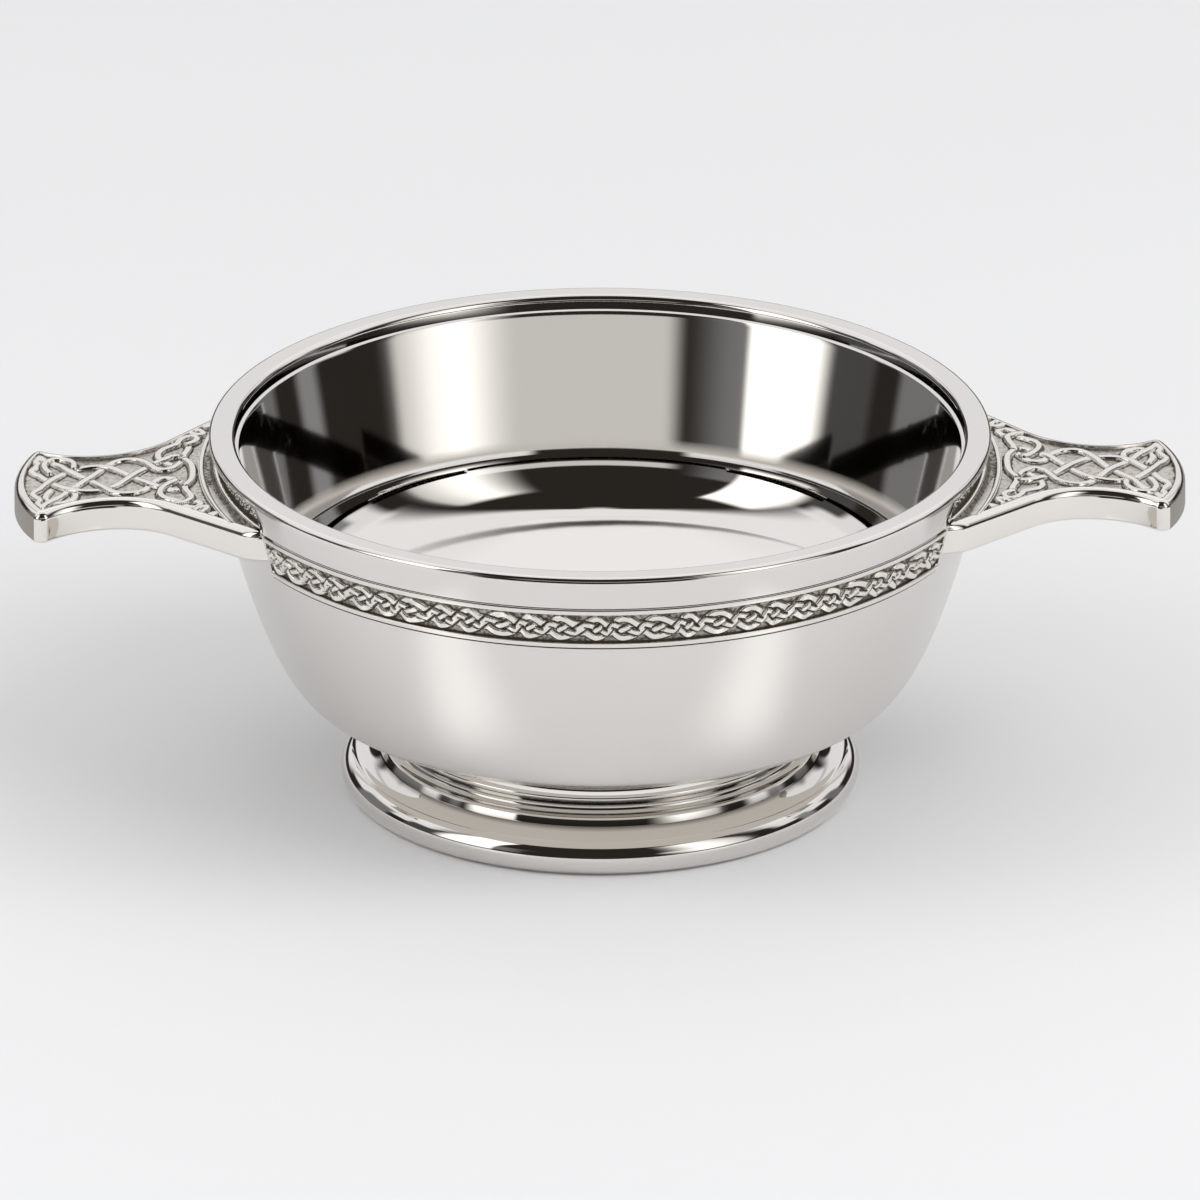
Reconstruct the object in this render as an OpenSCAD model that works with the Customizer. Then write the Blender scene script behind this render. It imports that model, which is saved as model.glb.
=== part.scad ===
// Quaich: a shallow two-lugged drinking cup. A bowl stands on a moulded foot ring, a flat-topped
// rim closes its edge, two strips of plaited knotwork run under the rim from lug to lug, and two
// waisted lugs carry knotwork on top. All lengths are in millimetres, the cup stands on z = 0,
// and the lugs lie along X.

/* [Cup] */
// Height of the cup from the table to the top of its rim
cup_h = 49; // [46:0.5:54]
// Outer radius at the top of the rim
lip_r = 51.1; // [48:0.1:56]
// Lean of the outer wall at the rim, in degrees from upright
wall_flare = 12.3; // [9:0.1:15]
// Length of the straight flare before the outer wall starts to turn in
wall_ease = 7.1; // [4:0.1:12]
// Length of the turn from the outer wall into the belly
belly_ease = 7.2; // [4:0.1:12]
// Slope of the underside where the wall becomes the belly, in degrees
belly_slope = 21.7; // [15:0.1:28]
// Depth of metal from the edge of the floor dish down to the belly
belly_depth = 6.8; // [5:0.1:8]
// How far the belly lies inside the edge of the floor dish
belly_in = 1.6; // [0:0.1:3]
// Radius of the flat underside that the foot is soldered to
base_r = 26.2; // [26:0.1:28]

/* [Inside of the bowl] */
// Taper of the inner wall, in degrees from upright
wall_taper = 7.1; // [5:0.1:9]
// Radius of the bend between wall and floor
bend_r = 10; // [7:0.5:13]
// Slope of the floor dish at its edge, in degrees
dish_slope = 26; // [20:0.5:30]
// Thickness of the floor at its middle
floor_t = 1.35; // [1:0.05:3]

/* [Rim] */
// Width of the rim seen from above
rim_w = 3.6; // [3.2:0.1:4.2]
// Height of the rim above the edge of the bowl
rim_head = 1.9; // [1.6:0.05:2.4]
// Height of the rim on the outside
apron_h = 4.7; // [4.2:0.1:5.6]
// Ledge between the inside of the rim and the inside of the bowl
rim_step = 0.5; // [0.3:0.05:0.9]
// Thickness of the bowl wall inside the rim
edge_t = 1.25; // [1:0.05:1.6]
// Rounding of the outer top edge of the rim
rim_edge = 0.45; // [0.2:0.05:0.6]
// Rounding of the inner top edge of the rim
rim_mouth_edge = 0.8; // [0.4:0.05:1]
// Thickness of the rim above the back panel of a lug
rim_over_lug = 1.1; // [0.9:0.05:1.3]

/* [Knot band] */
// Height of the knotwork strip
band_h = 5.8; // [5:0.1:7]
// Depth of the recess in the bowl that holds the strip
band_inlay = 0.8; // [0.5:0.05:1.1]
// How far the borders of the strip stand out from the bowl
band_proud = 0.2; // [0.05:0.05:0.4]
// Depth of the field below the borders
band_sink = 0.55; // [0.3:0.05:0.7]
// Width of each border
band_border = 0.7; // [0.4:0.05:1]
// Length of one full wave of a strand
knot_wave = 8.4; // [6:0.1:11]
// Width of a strand at its foot
strand_w = 0.8; // [0.6:0.05:1]
// Height of a strand above the field
strand_h = 0.4; // [0.2:0.05:0.5]
// How far a strand rises and dips where strands cross
weave_lift = 0.08; // [0.04:0.01:0.12]

/* [Lugs] */
// Length of the cup over both lugs
lug_span = 152.4; // [146:0.2:160]
// Thickness of a lug
lug_t = 4.25; // [3.6:0.05:5]
// Downward lean of a lug, in degrees
lug_lean = 3.7; // [0:0.1:6]
// Height of the rim over the top of a lug at its root
lug_below_rim = 4.65; // [4.3:0.05:5.2]
// Width of a lug at its waist
lug_waist_w = 16.6; // [13:0.2:20]
// Distance from the axis of the cup to the waist
lug_waist_x = 64.6; // [62:0.2:67]
// Radius of the hollow sides at the waist
lug_waist_r = 11.6; // [10:0.1:13]
// Angle at which the sides spread from the waist to the root, in degrees
lug_spread = 46.8; // [42:0.1:52]
// Width of a lug at its root
lug_root_w = 45.6; // [42:0.2:50]
// Rounding of the shoulders at the root
lug_shoulder_r = 5; // [3:0.1:7]
// Radius of the bowed end of a lug
lug_tip_r = 25.8; // [22:0.2:32]
// Rounding of the corners at the end
lug_corner_r = 1.3; // [1:0.1:2]
// Rounding of the top edge
lug_edge = 0.85; // [0.4:0.05:0.95]
// Rounding of the bottom edge
lug_under_edge = 0.45; // [0.2:0.05:0.8]
// Width of the plain border round the knotwork
lug_border = 0.9; // [0.5:0.05:1.4]
// Depth of the knotwork field
lug_sink = 0.5; // [0.3:0.05:0.7]
// Distance from the bowl to the knotwork field at the root
lug_field_in = 2.2; // [1.6:0.1:3]
// Thickness of the upright back panel under the rim
panel_t = 1.35; // [1:0.05:1.5]
// Height and width of the cove between back panel and lug
cove_r = 1.2; // [0.8:0.05:1.4]
// Width of a knot strand on the lug
lug_strand_w = 0.95; // [0.7:0.05:1.2]
// Length of one full wave of the plait on the lug
lug_wave = 24; // [18:0.5:30]

/* [Foot] */
// Height of the foot
foot_h = 10.6; // [9.6:0.1:11.6]
// Outer radius of the rolled base
foot_r = 33.8; // [32:0.1:37]
// Radius of the base roll in section
roll_r = 2.4; // [2:0.05:2.8]
// Flat lapped off the bottom of the roll
roll_lap = 0.15; // [0.05:0.05:0.3]
// Width of the ledge from the roll's middle in to the lower bead
ledge_w = 2.55; // [2:0.05:3.2]
// Radius of the lower bead in section
low_bead_r = 0.95; // [0.6:0.05:1.1]
// Height of the lower bead
low_bead_z = 5.25; // [5:0.05:5.6]
// Radius of the hollow between the beads in section
hollow_r = 1.1; // [0.8:0.05:1.2]
// Distance from the lower bead's edge in to the collar's edge
collar_in = 1.65; // [1.3:0.05:2]
// Rounding of the collar in section
collar_edge = 0.5; // [0.35:0.05:0.6]
// Height of the top of the collar
collar_z = 8.87; // [8.6:0.05:9.2]
// Width of the collar's top, out from the neck
collar_w = 1.9; // [1.5:0.05:2.2]
// Thickness of the foot at its neck
neck_t = 2; // [1.5:0.1:2.5]

/* [Fits] */
// Thickness of solder between pieces
solder = 0.05; // [0.02:0.01:0.1]

/* [Hidden] */
$fn = 96;
far_out = 2 * lip_r;
pewter = [0.80, 0.79, 0.77];
pewter_worn = [0.72, 0.71, 0.69];

// Heights and radii that several pieces share
edge_z = cup_h - rim_head;
apron_z = cup_h - apron_h;
rim_inner_r = lip_r - rim_w;
mouth_r = rim_inner_r - rim_step;
seat_r = mouth_r + edge_t;
band_bottom_z = apron_z - band_h;
dish_z = foot_h + floor_t;

function blend(a, b, t) = a + (b - a) * t;
function turn(a) = [cos(a), sin(a)];
function cubic(p, t) = p[0] * pow(1 - t, 3) + p[1] * 3 * t * pow(1 - t, 2)
    + p[2] * 3 * t * t * (1 - t) + p[3] * pow(t, 3);
function arc(centre, r, from, to, steps, first = 0) =
    [for (i = [first : steps]) centre + r * turn(blend(from, to, i / steps))];

// Inside of the bowl: a tapering wall, a bend and a spherical dish, each tangent to the next.
// dish_over_bend is the difference between the dish's radius and the bend's.
dish_edge = 90 - dish_slope;
dish_over_bend = (mouth_r - bend_r / cos(wall_taper) - (edge_z - dish_z - bend_r) * tan(wall_taper))
    / (cos(dish_edge) - tan(wall_taper) * (1 - sin(dish_edge)));
dish_r = dish_over_bend + bend_r;
bend_centre = [dish_over_bend * cos(dish_edge), dish_z + dish_r - dish_over_bend * sin(dish_edge)];
dish_centre = [0, dish_z + dish_r];
dish_rim = dish_centre + dish_r * turn(-dish_edge);
inner_profile = concat(
    arc(dish_centre, dish_r, -90, -dish_edge, 12),
    arc(bend_centre, bend_r, -dish_edge, -wall_taper, 12, 1),
    [[mouth_r, edge_z]]);

// Outside of the bowl: one curve from the lip to the belly, one from the belly to the base
lip_point = [lip_r, cup_h];
belly_point = dish_rim - [belly_in, belly_depth];
base_point = [base_r, foot_h];
wall_curve = [
    lip_point,
    lip_point - wall_ease * [sin(wall_flare), cos(wall_flare)],
    belly_point + belly_ease * turn(belly_slope),
    belly_point];
base_reach = (belly_point[0] - base_r) / 3;
base_curve = [
    belly_point,
    belly_point - base_reach * turn(belly_slope),
    base_point + [base_reach, 0],
    base_point];

// The wall curve falls all the way, so its place at a height is found by halving
function wall_place(z, low = 0, high = 1, halvings = 30) =
    let (middle = (low + high) / 2)
    halvings == 0 ? middle
    : cubic(wall_curve, middle)[1] > z ? wall_place(z, middle, high, halvings - 1)
    : wall_place(z, low, middle, halvings - 1);
function wall_r(z) = cubic(wall_curve, wall_place(z))[0];
function wall_points(top, bottom, steps) =
    let (a = wall_place(top), b = wall_place(bottom))
    [for (i = [0 : steps]) cubic(wall_curve, blend(a, b, i / steps))];

// Between the strip's edges the wall is taken as a straight cone
band_top_r = wall_r(apron_z);
band_bottom_r = wall_r(band_bottom_z);
cone_slope = (band_top_r - band_bottom_r) / band_h;
function cone_r(z) = band_bottom_r + (z - band_bottom_z) * cone_slope;

// A lug's plan is a chain of arcs with fixed centres, so an inset only changes their radii
half_waist = lug_waist_w / 2;
half_root = lug_root_w / 2;
tip_centre = [lug_span / 2 - lug_tip_r, 0];
waist_centre = [lug_waist_x, half_waist + lug_waist_r];
waist_reach = norm(waist_centre - tip_centre);
corner_to_tip = lug_tip_r - lug_corner_r;
corner_to_waist = lug_waist_r + lug_corner_r;
corner_along = (pow(corner_to_tip, 2) - pow(corner_to_waist, 2) + pow(waist_reach, 2)) / (2 * waist_reach);
corner_across = sqrt(pow(corner_to_tip, 2) - pow(corner_along, 2));
to_waist = (waist_centre - tip_centre) / waist_reach;
corner_centre = tip_centre + corner_along * to_waist + corner_across * [to_waist[1], -to_waist[0]];
function heading(v) = atan2(v[1], v[0]);
tip_turn = heading(corner_centre - tip_centre);
waist_end = 360 + heading(corner_centre - waist_centre);
corner_start = waist_end - 180;
spread_point = waist_centre - lug_waist_r * [sin(lug_spread), cos(lug_spread)];
shoulder_y = half_root - lug_shoulder_r;
shoulder_end_y = shoulder_y + lug_shoulder_r * cos(lug_spread);
shoulder_x = spread_point[0] - (shoulder_end_y - spread_point[1]) / tan(lug_spread)
    - lug_shoulder_r * sin(lug_spread);
shoulder_centre = [shoulder_x, shoulder_y];

lug_root_x = cone_r(cup_h - lug_below_rim);
lug_top_z = cup_h - lug_below_rim;
function lug_plane(x, depth) = lug_top_z - (x - lug_root_x) * tan(lug_lean) - depth;

// One closed outline of a lug at a depth below its top, inset from its sides, with its root
// inside the wall of the bowl
function lug_half(inset) = concat(
    arc(shoulder_centre, lug_shoulder_r - inset, 90, 90 - lug_spread, 5),
    arc(waist_centre, lug_waist_r + inset, 270 - lug_spread, waist_end, 12),
    arc(corner_centre, lug_corner_r - inset, corner_start, tip_turn, 5, 1),
    arc(tip_centre, lug_tip_r - inset, tip_turn, 0, 6, 1));
function mirrored(points) = [for (i = [len(points) - 2 : -1 : 0]) [points[i][0], -points[i][1]]];
function lug_outline(depth, inset) =
    let (side = concat([[mouth_r * cos(band_angle), half_root - inset]], lug_half(inset)))
    [for (p = concat(side, mirrored(side))) [p[0], p[1], lug_plane(p[0], depth)]];

// Faces of a tube of equal rings with closed ends
function tube_faces(rings, sides) = concat(
    [for (i = [0 : rings - 2]) for (j = [0 : sides - 1])
        let (here = i * sides, next = here + sides, k = (j + 1) % sides)
        each [[here + j, next + j, next + k], [here + j, next + k, here + k]]],
    [[for (j = [0 : sides - 1]) j], [for (j = [sides - 1 : -1 : 0]) (rings - 1) * sides + j]]);

// A strand drawn flat as points of length, height and lift becomes rings of four points: a foot
// sunk into the field and a narrower crown
strand_sunk = 0.2;
strand_crown = 0.55;
function strand_rings(path, width, rise) =
    let (last = len(path) - 1)
    [for (i = [0 : last])
        let (before = path[max(i - 1, 0)])
        let (after = path[min(i + 1, last)])
        let (run = [after[0] - before[0], after[1] - before[1]])
        let (side = [-run[1], run[0]] * width / 2 / norm(run))
        let (here = [path[i][0], path[i][1]])
        let (crown = strand_crown * side)
        each [
            [each (here - side), path[i][2] - strand_sunk],
            [each (here + side), path[i][2] - strand_sunk],
            [each (here + crown), path[i][2] + rise],
            [each (here - crown), path[i][2] + rise]]];

module strand(points) {
    polyhedron(points, tube_faces(len(points) / 4, 4), convexity = 8);
}

module bowl() {
    wall = wall_points(apron_z, belly_point[1], 24);
    outer_profile = concat(
        [for (i = [12 : -1 : 1]) cubic(base_curve, i / 12)],
        [for (i = [24 : -1 : 0]) wall[i]]);
    color(pewter)
    difference() {
        rotate_extrude()
        polygon(concat(
            [[0, foot_h]], outer_profile,
            [[seat_r, apron_z], [seat_r, edge_z]],
            [for (i = [len(inner_profile) - 1 : -1 : 0]) inner_profile[i]]));
        for (side = [-90, 90])
            band_sector(side, 0)
            polygon([
                [band_bottom_r - band_inlay, band_bottom_z], [far_out, band_bottom_z],
                [far_out, apron_z + band_inlay],
                [cone_r(apron_z + band_inlay) - band_inlay, apron_z + band_inlay]]);
    }
}

module rim_ring() {
    top_r = wall_r(cup_h - rim_edge);
    pocket_top_z = cup_h - rim_over_lug;
    color(pewter)
    difference() {
        rotate_extrude()
        polygon(concat(
            wall_points(cup_h - rim_edge, apron_z, 6),
            [[seat_r + solder, apron_z], [seat_r + solder, edge_z], [rim_inner_r, edge_z]],
            arc([rim_inner_r + rim_mouth_edge, cup_h - rim_mouth_edge], rim_mouth_edge, 180, 90, 6),
            arc([top_r - rim_edge, cup_h - rim_edge], rim_edge, 90, 10, 5)));
        for (side = [0, 180])
            rotate(side)
            difference() {
                translate([0, -half_root - solder, apron_z - rim_head])
                cube([far_out, lug_root_w + 2 * solder, pocket_top_z - apron_z + rim_head]);
                cylinder(h = cup_h, r = seat_r - solder);
            }
    }
}

// Angle from the lugs' middle to the ends of the knot strips
band_angle = asin(half_root / band_bottom_r) + asin(solder / band_bottom_r);

// A section turned through the knot strip's share of the cup, about the direction given
module band_sector(middle, trim) {
    spread = 180 - 2 * band_angle - 2 * trim;
    rotate(middle - spread / 2)
    rotate_extrude(angle = spread)
    children();
}

band_lean = atan(cone_slope);
strip_trim = asin(solder / band_bottom_r);
field_half = band_h / 2 - band_border - solder;
wave_swing = field_half - strand_w / 2 - solder;
function field_r(z) = cone_r(z) + band_proud - band_sink;

// A point of the flat pattern, wrapped onto the strip's field in front of the cup
function on_band(p) =
    let (z = band_bottom_z + band_h / 2 + p[1])
    let (r = field_r(z) + p[2])
    let (a = p[0] / field_r(band_bottom_z + band_h / 2) * 180 / PI)
    [r * sin(a), -r * cos(a), z];

// A strip with two plain borders and a two-strand plait. Both strands are one wave, half a wave
// apart, and each rises over the other at every second crossing.
module knot_strip() {
    strip = 180 - 2 * band_angle - 2 * strip_trim;
    half_length = field_r(band_bottom_z) * (strip / 2) * PI / 180 - strand_w;
    waves = 2 * half_length / knot_wave;
    steps = 10 * ceil(waves);
    low_z = band_bottom_z + solder;
    high_z = apron_z - solder;
    back = band_inlay - solder;
    color(pewter_worn)
    union() {
        band_sector(-90, strip_trim)
        polygon([
            [cone_r(low_z) - back, low_z],
            [cone_r(low_z) + band_proud, low_z],
            [cone_r(low_z + band_border) + band_proud, low_z + band_border],
            [field_r(low_z + band_border), low_z + band_border],
            [field_r(high_z - band_border), high_z - band_border],
            [cone_r(high_z - band_border) + band_proud, high_z - band_border],
            [cone_r(high_z) + band_proud, high_z],
            [cone_r(high_z) - back, high_z]]);
        for (half_wave = [0, 1]) {
            path = [for (i = [0 : steps])
                let (s = blend(-half_length, half_length, i / steps))
                let (phase = s / knot_wave * 360 + 180 * half_wave)
                [s, wave_swing * sin(phase), weave_lift * cos(phase)]];
            rings = strand_rings(path, strand_w, strand_h);
            strand([for (p = rings) on_band(p)]);
        }
    }
}

module knot_band_front() {
    knot_strip();
}

module knot_band_back() {
    rotate(180) knot_strip();
}

field_root_r = lug_root_x + lug_field_in;
field_inset = lug_edge + lug_border;
function half_width(x) =
    half_waist + lug_waist_r - sqrt(pow(lug_waist_r, 2) - pow(min(abs(x - lug_waist_x), 0.9 * lug_waist_r), 2));
function on_lug(p) = [p[0], p[1], lug_plane(p[0], lug_sink) + p[2]];

// The plait along a lug: four strands, a quarter wave apart, as wide as the field at each place
module lug_plait() {
    from = field_root_r + lug_strand_w;
    to = lug_span / 2 - field_inset - 2 * lug_strand_w;
    steps = 14;
    for (quarter = [0 : 3]) {
        path = [for (i = [0 : steps])
            let (x = blend(from, to, i / steps))
            let (phase = (x - lug_waist_x) / lug_wave * 360 + 90 * quarter + 45)
            let (swing = half_width(x) - field_inset - lug_strand_w)
            [x, swing * sin(phase), weave_lift * cos(3 * phase)]];
        for (i = [0 : steps - 1])
            hull() {
                lug_post(path[i]);
                lug_post(path[i + 1]);
            }
    }
}

// One post of a strand: a small tapering stub with its foot sunk into the field
module lug_post(p) {
    translate(on_lug([p[0], p[1], p[2] - strand_sunk]))
    cylinder(h = lug_sink + strand_sunk, d1 = lug_strand_w, d2 = strand_crown * lug_strand_w, $fn = 6);
}

// Upright panel under the rim with a cove at its foot, turned about the axis of the cup
module lug_back() {
    bottom_z = apron_z + solder;
    top_z = cup_h - rim_over_lug - solder;
    face_r = seat_r + solder + panel_t;
    cove_start = cone_r(apron_z) + solder;
    cove_end = cove_start + cove_r;
    root_z = lug_plane(cove_end, 0);
    intersection() {
        rotate_extrude($fn = 180)
        difference() {
            polygon([
                [mouth_r, top_z], [mouth_r, bottom_z], [cove_start, root_z - lug_sink],
                [cove_end, root_z - lug_sink], [cove_end, root_z + cove_r],
                [face_r, root_z + cove_r], [face_r, top_z]]);
            translate([cove_end, root_z + cove_r]) circle(cove_r, $fn = 32);
        }
        translate([0, -half_root, 0]) cube([far_out, lug_root_w, cup_h]);
    }
}

// The plate of a lug: one outline at several depths, drawn in towards its rounded edges
module lug_plate() {
    top_edge = [for (a = [90 : -22.5 : 0]) [lug_edge * (1 - sin(a)), lug_edge * (1 - cos(a))]];
    under_edge = [for (a = [90 : -45 : 0])
        [lug_t - lug_under_edge * (1 - cos(a)), lug_under_edge * (1 - sin(a))]];
    layers = concat(top_edge, under_edge);
    points = [for (l = layers) each lug_outline(l[0], l[1])];
    polyhedron(points, tube_faces(len(layers), len(points) / len(layers)), convexity = 6);
}

// The sunk field for the knotwork, parallel to the top of the lug
module lug_field() {
    multmatrix([[1, 0, 0, 0], [0, 1, 0, 0], [-tan(lug_lean), 0, 1, lug_plane(0, lug_sink)]])
    linear_extrude(height = lug_t)
    difference() {
        offset(delta = -field_inset)
        polygon([for (p = lug_outline(0, 0)) [p[0], p[1]]]);
        circle(field_root_r, $fn = 180);
    }
}

module lug() {
    color(pewter_worn)
    difference() {
        union() {
            difference() {
                lug_plate();
                lug_field();
            }
            lug_back();
            lug_plait();
        }
        bowl_under_lug();
    }
}

// The outside of the bowl, with the solder, that the root of a lug is shaped to
module bowl_under_lug() {
    low_z = band_bottom_z - lug_t;
    rotate_extrude($fn = 240)
    polygon([
        [0, low_z], [cone_r(low_z) + solder, low_z], [cone_r(apron_z) + solder, apron_z + solder],
        [seat_r + solder, apron_z + solder], [seat_r + solder, cup_h], [0, cup_h]]);
}

module lug_right() {
    lug();
}

module lug_left() {
    rotate(180) lug();
}

// The foot is turned from one section: a neck under the bowl, a collar, a hollow, a bead, a ledge
// and the base roll, hollow underneath
module foot_ring() {
    roll_c = [foot_r - roll_r, roll_r - roll_lap];
    bead_c = [roll_c[0] - ledge_w - low_bead_r, low_bead_z];
    collar_r = bead_c[0] + low_bead_r - collar_in;
    neck_r = collar_r - collar_w;
    inner_r = neck_r - neck_t;
    collar_c = [collar_r - collar_edge, collar_z - collar_edge];
    hollow_c = [collar_r + hollow_r / 2, (collar_c[1] - collar_edge + bead_c[1] + low_bead_r) / 2];
    color(pewter)
    difference() {
        rotate_extrude()
        union() {
            difference() {
                polygon([
                    [inner_r, bead_c[1] + neck_t], [bead_c[0] - neck_t, bead_c[1] - neck_t / 2],
                    [roll_c[0] - roll_r, roll_c[1]], [roll_c[0] - roll_r, 0], roll_c,
                    [roll_c[0], roll_c[1] + roll_r - roll_lap], bead_c,
                    [collar_r, bead_c[1]], [collar_r, collar_c[1]],
                    collar_c, [collar_c[0], collar_z], [neck_r, collar_z],
                    [neck_r, foot_h], [inner_r, foot_h]]);
                translate(hollow_c) circle(hollow_r);
            }
            translate(collar_c) circle(collar_edge);
            translate(bead_c) circle(low_bead_r);
            translate(roll_c) circle(roll_r);
        }
        translate([0, 0, -foot_h]) cylinder(h = foot_h, r = far_out);
    }
}

bowl();
rim_ring();
knot_band_front();
knot_band_back();
lug_left();
lug_right();
foot_ring();
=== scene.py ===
# %% [markdown]
# # A quaich in polished pewter
# A quaich is a shallow drinking cup that is passed round by its two flat lugs. The CAD model gives
# its solids in real size. This lesson dresses them: every piece is worked out again as a fine
# smooth surface, because a polished metal shows each facet, and the woven knotwork gets its relief.
# We start by loading the CAD model as a frame and by reading the main sizes from it.

import bmesh
import bpy
import numpy as np
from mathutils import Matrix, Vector


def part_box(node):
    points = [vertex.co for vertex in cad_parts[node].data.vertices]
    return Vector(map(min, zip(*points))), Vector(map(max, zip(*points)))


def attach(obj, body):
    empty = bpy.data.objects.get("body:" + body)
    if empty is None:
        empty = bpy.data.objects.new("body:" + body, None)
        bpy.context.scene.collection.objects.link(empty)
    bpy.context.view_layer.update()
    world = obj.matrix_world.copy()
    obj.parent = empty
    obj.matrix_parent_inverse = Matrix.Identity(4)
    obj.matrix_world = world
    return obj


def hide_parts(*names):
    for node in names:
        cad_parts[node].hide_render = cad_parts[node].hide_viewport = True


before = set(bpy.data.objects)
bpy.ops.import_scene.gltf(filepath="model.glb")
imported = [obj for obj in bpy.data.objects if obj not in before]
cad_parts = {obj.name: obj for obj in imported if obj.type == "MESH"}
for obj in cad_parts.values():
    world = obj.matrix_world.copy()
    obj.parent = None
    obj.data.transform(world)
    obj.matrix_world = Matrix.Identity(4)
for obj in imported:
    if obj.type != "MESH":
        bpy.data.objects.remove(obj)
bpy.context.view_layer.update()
MM = 0.001


def node_box(name):
    """Lowest and highest corner of a CAD node, in millimetres."""
    low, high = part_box(name)
    return np.array(low) / MM, np.array(high) / MM


rim_low, rim_high = node_box("rim_ring")
band_low, band_high = node_box("knot_band_front")
bowl_high, foot_high, lug_high = (node_box(name)[1] for name in ("bowl", "foot_ring", "lug_right"))
CUP_H, APRON_Z, EDGE_Z = rim_high[2], rim_low[2], bowl_high[2]
FOOT_H, FOOT_R = foot_high[2], foot_high[0]
LUG_END, HALF_ROOT = lug_high[0], lug_high[1]
SOLDER = APRON_Z - band_high[2]
BAND_LOW = band_low[2] - SOLDER
print(f"cup {CUP_H:.1f} mm high, {2 * LUG_END:.1f} mm over the lugs, foot {FOOT_H:.1f} mm")

# %% [markdown]
# ## Curves
# Almost everything on a cup is turned or drawn with a few curves: straight runs, arcs and one
# cubic. Each helper returns an array of points with one row a point, so that the curves can be
# chained into an outline.


# %% Curve helpers
def turn(degrees):
    """Unit vector (cos a, sin a)."""
    a = np.radians(degrees)
    return np.stack([np.cos(a), np.sin(a)], -1)


def line(start, end, steps):
    """Straight run: start + t (end - start)."""
    return np.linspace(start, end, steps)


def arc(centre, radius, start, end, steps):
    """Part of a circle: centre + radius (cos a, sin a), with a running from start to end."""
    return np.asarray(centre) + radius * turn(np.linspace(start, end, steps))


def cubic(points, steps):
    """Bezier curve: the four points weighed by (1-t)^3, 3t(1-t)^2, 3t^2(1-t) and t^3."""
    t = np.linspace(0, 1, steps)[:, None]
    a, b, c, d = np.asarray(points, float)
    return a * (1 - t) ** 3 + 3 * b * t * (1 - t) ** 2 + 3 * c * t**2 * (1 - t) + d * t**3


def chain(*runs):
    """Runs of points joined into one, without points that repeat the one before."""
    points = np.vstack(runs)
    apart = np.linalg.norm(np.diff(points, axis=0), axis=1) > 1e-4
    return points[np.r_[True, apart]]


def eased(corners, reach, steps=7):
    """Broken line with eased corners: each corner gives way to a parabola, the Bezier curve
    (1-t)^2 A + 2t(1-t) corner + t^2 B, whose ends A and B lie `reach` before and after it."""
    corners = np.asarray(corners, float)
    t = np.linspace(0, 1, steps)[:, None]
    runs = [corners[:1]]
    for before, here, after in zip(corners, corners[1:], corners[2:]):
        a = here + (before - here) * min(0.49, reach / np.linalg.norm(before - here))
        b = here + (after - here) * min(0.49, reach / np.linalg.norm(after - here))
        runs.append((1 - t) ** 2 * a + 2 * t * (1 - t) * here + t**2 * b)
    return chain(*runs, corners[-1:])


def spread_evenly(points, steps):
    """The same line with `steps` points at equal distances along it."""
    along = np.r_[0, np.cumsum(np.linalg.norm(np.diff(points, axis=0), axis=1))]
    places = np.linspace(0, along[-1], steps)
    return np.stack([np.interp(places, along, points[:, i]) for i in range(points.shape[1])], -1)


def smooth_step(t):
    """0 below 0, 1 above 1 and 3t^2 - 2t^3 between."""
    t = np.clip(t, 0, 1)
    return t * t * (3 - 2 * t)


# %% [markdown]
# ## From arrays to pieces
# A surface is a grid of points, and its faces join each point to the next in its row and column.
# A closed direction joins its last points to its first. Each piece is put together from such
# grids and from flat caps, then doubles are merged, so that seams and poles are closed, and the
# faces are turned outwards. Values can be kept on each point, and the finishes read them: they say
# where patina lies, where the metal is satin and where it is the ground of the knotwork.


# %% Mesh helpers
def grid_faces(rows, columns, close_rows=False, close_columns=False):
    """Corners of each four-sided face: (i, j), (i, j+1), (i+1, j+1), (i+1, j)."""
    i = np.arange(rows if close_rows else rows - 1)[:, None]
    j = np.arange(columns if close_columns else columns - 1)[None]
    below, beside = (i + 1) % rows, (j + 1) % columns
    corners = [i * columns + j, i * columns + beside, below * columns + beside, below * columns + j]
    return np.stack(np.broadcast_arrays(*corners), -1).reshape(-1, 4).tolist()


class Shell:
    """Points, faces and point values of one piece while it is put together."""

    def __init__(self):
        self.points, self.faces, self.values, self.count = [], [], {}, 0

    def add(self, points, faces, **values):
        points = np.asarray(points, float).reshape(-1, 3)
        self.points.append(points)
        self.faces += [[k + self.count for k in face] for face in faces]
        for name, value in values.items():
            self.values.setdefault(name, []).append(np.ravel(value))
        self.count += len(points)
        return self


def make_piece(name, shell, nodes, finish, sharp=40, mirrored=True):
    """Mesh object from a shell in millimetres, riding on the cup in place of its CAD nodes. A piece
    that isn't mirrored leaves the view of the room free for the polished metal round it."""
    mesh = bpy.data.meshes.new(name)
    mesh.from_pydata(np.vstack(shell.points) * MM, [], shell.faces)
    for value_name, values in shell.values.items():
        layer = mesh.attributes.new(value_name, "FLOAT", "POINT")
        layer.data.foreach_set("value", np.concatenate(values))
    work = bmesh.new()
    work.from_mesh(mesh)
    bmesh.ops.remove_doubles(work, verts=work.verts, dist=1e-7)
    bmesh.ops.recalc_face_normals(work, faces=work.faces)
    work.to_mesh(mesh)
    work.free()
    mesh.shade_smooth()
    mesh.set_sharp_from_angle(angle=np.radians(sharp))
    mesh.materials.append(finish)
    piece = bpy.data.objects.new(name, mesh)
    bpy.context.scene.collection.objects.link(piece)
    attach(piece, "root")
    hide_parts(*nodes)
    piece.visible_glossy = mirrored
    print(f"{name}: {len(mesh.vertices)} points, {len(mesh.polygons)} faces")
    return piece


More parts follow.
